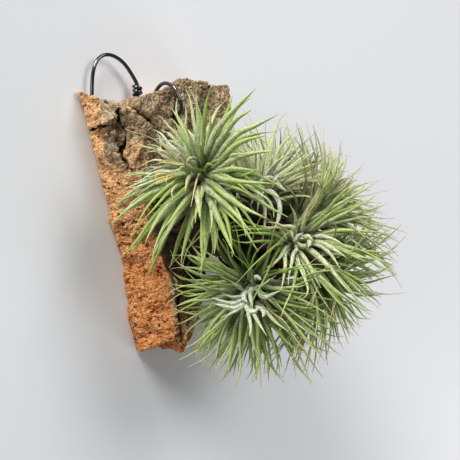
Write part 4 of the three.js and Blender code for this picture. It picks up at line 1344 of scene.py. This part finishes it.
class OBJECT_OT_make_old_growth(bpy.types.Operator):
    """Makes the old stems, the roots that hold them to the bark, and the dead leaves under the rosettes"""

    bl_idname = "object.air_plant_old_growth"
    bl_label = "Old Stems and Roots"

    def execute(self, context):
        settings = context.scene.air_plant_clump.old_growth
        bark = bpy.data.objects.get("bark")
        if bark is None:
            raise RuntimeError("the roots need the bark: make it first")
        mesh = remeshed("old_stems", 0.7 * MM)
        values = {"Depth": 4 * MM, "Material": stem_material(settings)}
        dress(grown("stem_wood", mesh, stem_tree(), values), "old_stems")

        surface = BVHTree.FromObject(bark, context.evaluated_depsgraph_get())
        tree = blade_tree()
        roots = []
        for seed in range(settings.roots):
            line = root_line(surface, seed)
            beside = unit(np.cross(line[-1] - line[0], (0, 0, 1)))
            halves = np.linspace(0.42, 0.14, len(line)) * lerp(0.7, 1.2, draw(seed, 4))
            roots.append(Chain(line, beside, halves, 1, 0, tone=draw(seed, 5)))
        values = {"Sides": 5, "Material": root_material(settings)}
        dress(grown("roots", chain_mesh("roots", roots), tree, values), None)

        dead = []
        for seed, rosette in enumerate(ROSETTES, 1):
            dead += [dead_leaf(rosette, seed, index) for index in range(settings.dead_leaves)]
            dead += [strand(rosette, seed, index) for index in range(rosette.strands)]
        values = {"Sides": 8, "Material": dead_leaf_material(settings)}
        dress(grown("dead_leaves", chain_mesh("dead_leaves", dead), tree, values), None)
        return {"FINISHED"}


class OBJECT_OT_grow_rosettes(bpy.types.Operator):
    """Grows the leaves of the rosettes, each rosette as one piece"""

    bl_idname = "object.air_plant_rosettes"
    bl_label = "Rosettes"

    def execute(self, context):
        settings = context.scene.air_plant_clump.leaves
        grower = Grower()
        grower.grow_all(settings.extra)
        tree = blade_tree()
        values = {"Sides": 10, "Material": leaf_material(settings)}
        for seed, rosette in enumerate(ROSETTES, 1):
            leaves = [leaf for leaf in grower.leaves[rosette.name] if standing(rosette, leaf)]
            chains = [heart(rosette)]
            chains += [living_leaf(rosette, seed, leaf, settings) for leaf in leaves]
            chains += [curl(rosette, *placed) for placed in CURLS.get(rosette.name, ())]
            name = "leaves_" + rosette.name
            dress(grown(name, chain_mesh(name, chains), tree, values), "rosette_" + rosette.name)
        return {"FINISHED"}


# The stage

CAMERA_DISTANCE = 480
CLUMP_MIDDLE = Vector((8, -5.5, 55.5))
IMAGE_OFFSET = (-11.8, 2.6)  # of the picture's middle from the clump's, to the right and up
MM_PER_PIXEL = 0.37
IMAGE_PIXELS = 460
FLOOR_HALF = 3.0  # in metres

# Where the lights stand from the clump's middle, in millimetres to the picture's right, up and out of it,
# their size in metres, and their strength as a share of the key light's

LIGHTS = {
    "key": ((-450, 1330, 1170), 0.9, 1.0),
    "side": ((720, 560, 450), 0.6, 0.13),
    "fill": ((-1800, 180, 2700), 1.2, 0.52),
}


def add_light(name, place, target, size, power):
    light = bpy.data.lights.new(name, "AREA")
    light.shape = "DISK"
    light.size = size
    light.energy = power
    lamp = bpy.data.objects.new(name, light)
    bpy.context.scene.collection.objects.link(lamp)
    lamp.location = place * MM
    lamp.rotation_euler = (place - target).to_track_quat("Z", "Y").to_euler()


class OBJECT_OT_make_stage(bpy.types.Operator):
    """Makes the plain pale floor, the soft lights and the camera"""

    bl_idname = "object.air_plant_stage"
    bl_label = "Stage"

    def execute(self, context):
        settings = context.scene.air_plant_clump.stage
        scene = context.scene
        corners = [(-FLOOR_HALF, -FLOOR_HALF, 0), (FLOOR_HALF, -FLOOR_HALF, 0)]
        corners += [(FLOOR_HALF, FLOOR_HALF, 0), (-FLOOR_HALF, FLOOR_HALF, 0)]
        mesh = bpy.data.meshes.new("floor")
        mesh.from_pydata(corners, [], [(0, 1, 2, 3)])
        mesh.materials.append(floor_material(settings))
        new_piece("floor", mesh)

        axes = Matrix((PICTURE_RIGHT, (0, 1, 0), PICTURE_OUT)).transposed()
        camera = bpy.data.cameras.new("camera")
        camera.angle = 2 * math.atan(MM_PER_PIXEL * IMAGE_PIXELS / 2 / CAMERA_DISTANCE)
        scene.camera = bpy.data.objects.new("camera", camera)
        scene.collection.objects.link(scene.camera)
        place = CLUMP_MIDDLE + axes @ Vector((*IMAGE_OFFSET, CAMERA_DISTANCE))
        scene.camera.matrix_world = Matrix.LocRotScale(place * MM, axes, None)

        for name, (offset, size, share) in LIGHTS.items():
            add_light(name, CLUMP_MIDDLE + axes @ Vector(offset), CLUMP_MIDDLE, size, share * settings.key)
        # A small one for the floor below the clump in the picture
        add_light("background", Vector((420, -330, 200)), Vector((90, -130, 0)), 0.3, 0.024 * settings.key)

        world = bpy.data.worlds.new("studio")
        world.use_nodes = True
        surroundings = world.node_tree.nodes["Background"].inputs
        surroundings["Color"].default_value = (0.93, 0.96, 1.0, 1)
        surroundings["Strength"].default_value = settings.fill
        scene.world = world
        scene.view_settings.view_transform = "Standard"
        scene.view_settings.look = "Medium High Contrast"
        return {"FINISHED"}


class VIEW3D_PT_air_plants(bpy.types.Panel):
    """Lists the pieces of the clump"""

    bl_label = "Air Plant Clump"
    bl_idname = "VIEW3D_PT_air_plants"
    bl_space_type = "VIEW_3D"
    bl_region_type = "UI"
    bl_category = "Air Plants"

    def draw(self, context):
        settings = context.scene.air_plant_clump
        for group, operator in GROUPS:
            box = self.layout.box()
            box.operator(operator.bl_idname)
            values = getattr(settings, group)
            for name in values.__annotations__:
                box.prop(values, name)


GROUPS = (
    ("cork", OBJECT_OT_make_cork),
    ("wire", OBJECT_OT_make_wire),
    ("old_growth", OBJECT_OT_make_old_growth),
    ("leaves", OBJECT_OT_grow_rosettes),
    ("stage", OBJECT_OT_make_stage),
)
CLASSES = (
    LeafSettings, OldGrowthSettings, CorkSettings, WireSettings, StageSettings, ClumpSettings,
    *(operator for _, operator in GROUPS), VIEW3D_PT_air_plants,
)


def register():
    for item in CLASSES:
        bpy.utils.register_class(item)
    bpy.types.Scene.air_plant_clump = bpy.props.PointerProperty(type=ClumpSettings)


def unregister():
    del bpy.types.Scene.air_plant_clump
    for item in reversed(CLASSES):
        bpy.utils.unregister_class(item)


def main():
    register()
    bpy.ops.object.air_plant_stage()
    bpy.ops.object.air_plant_cork()
    bpy.ops.object.air_plant_wire()
    bpy.ops.object.air_plant_old_growth()
    bpy.ops.object.air_plant_rosettes()


if __name__ == "__main__":
    main()
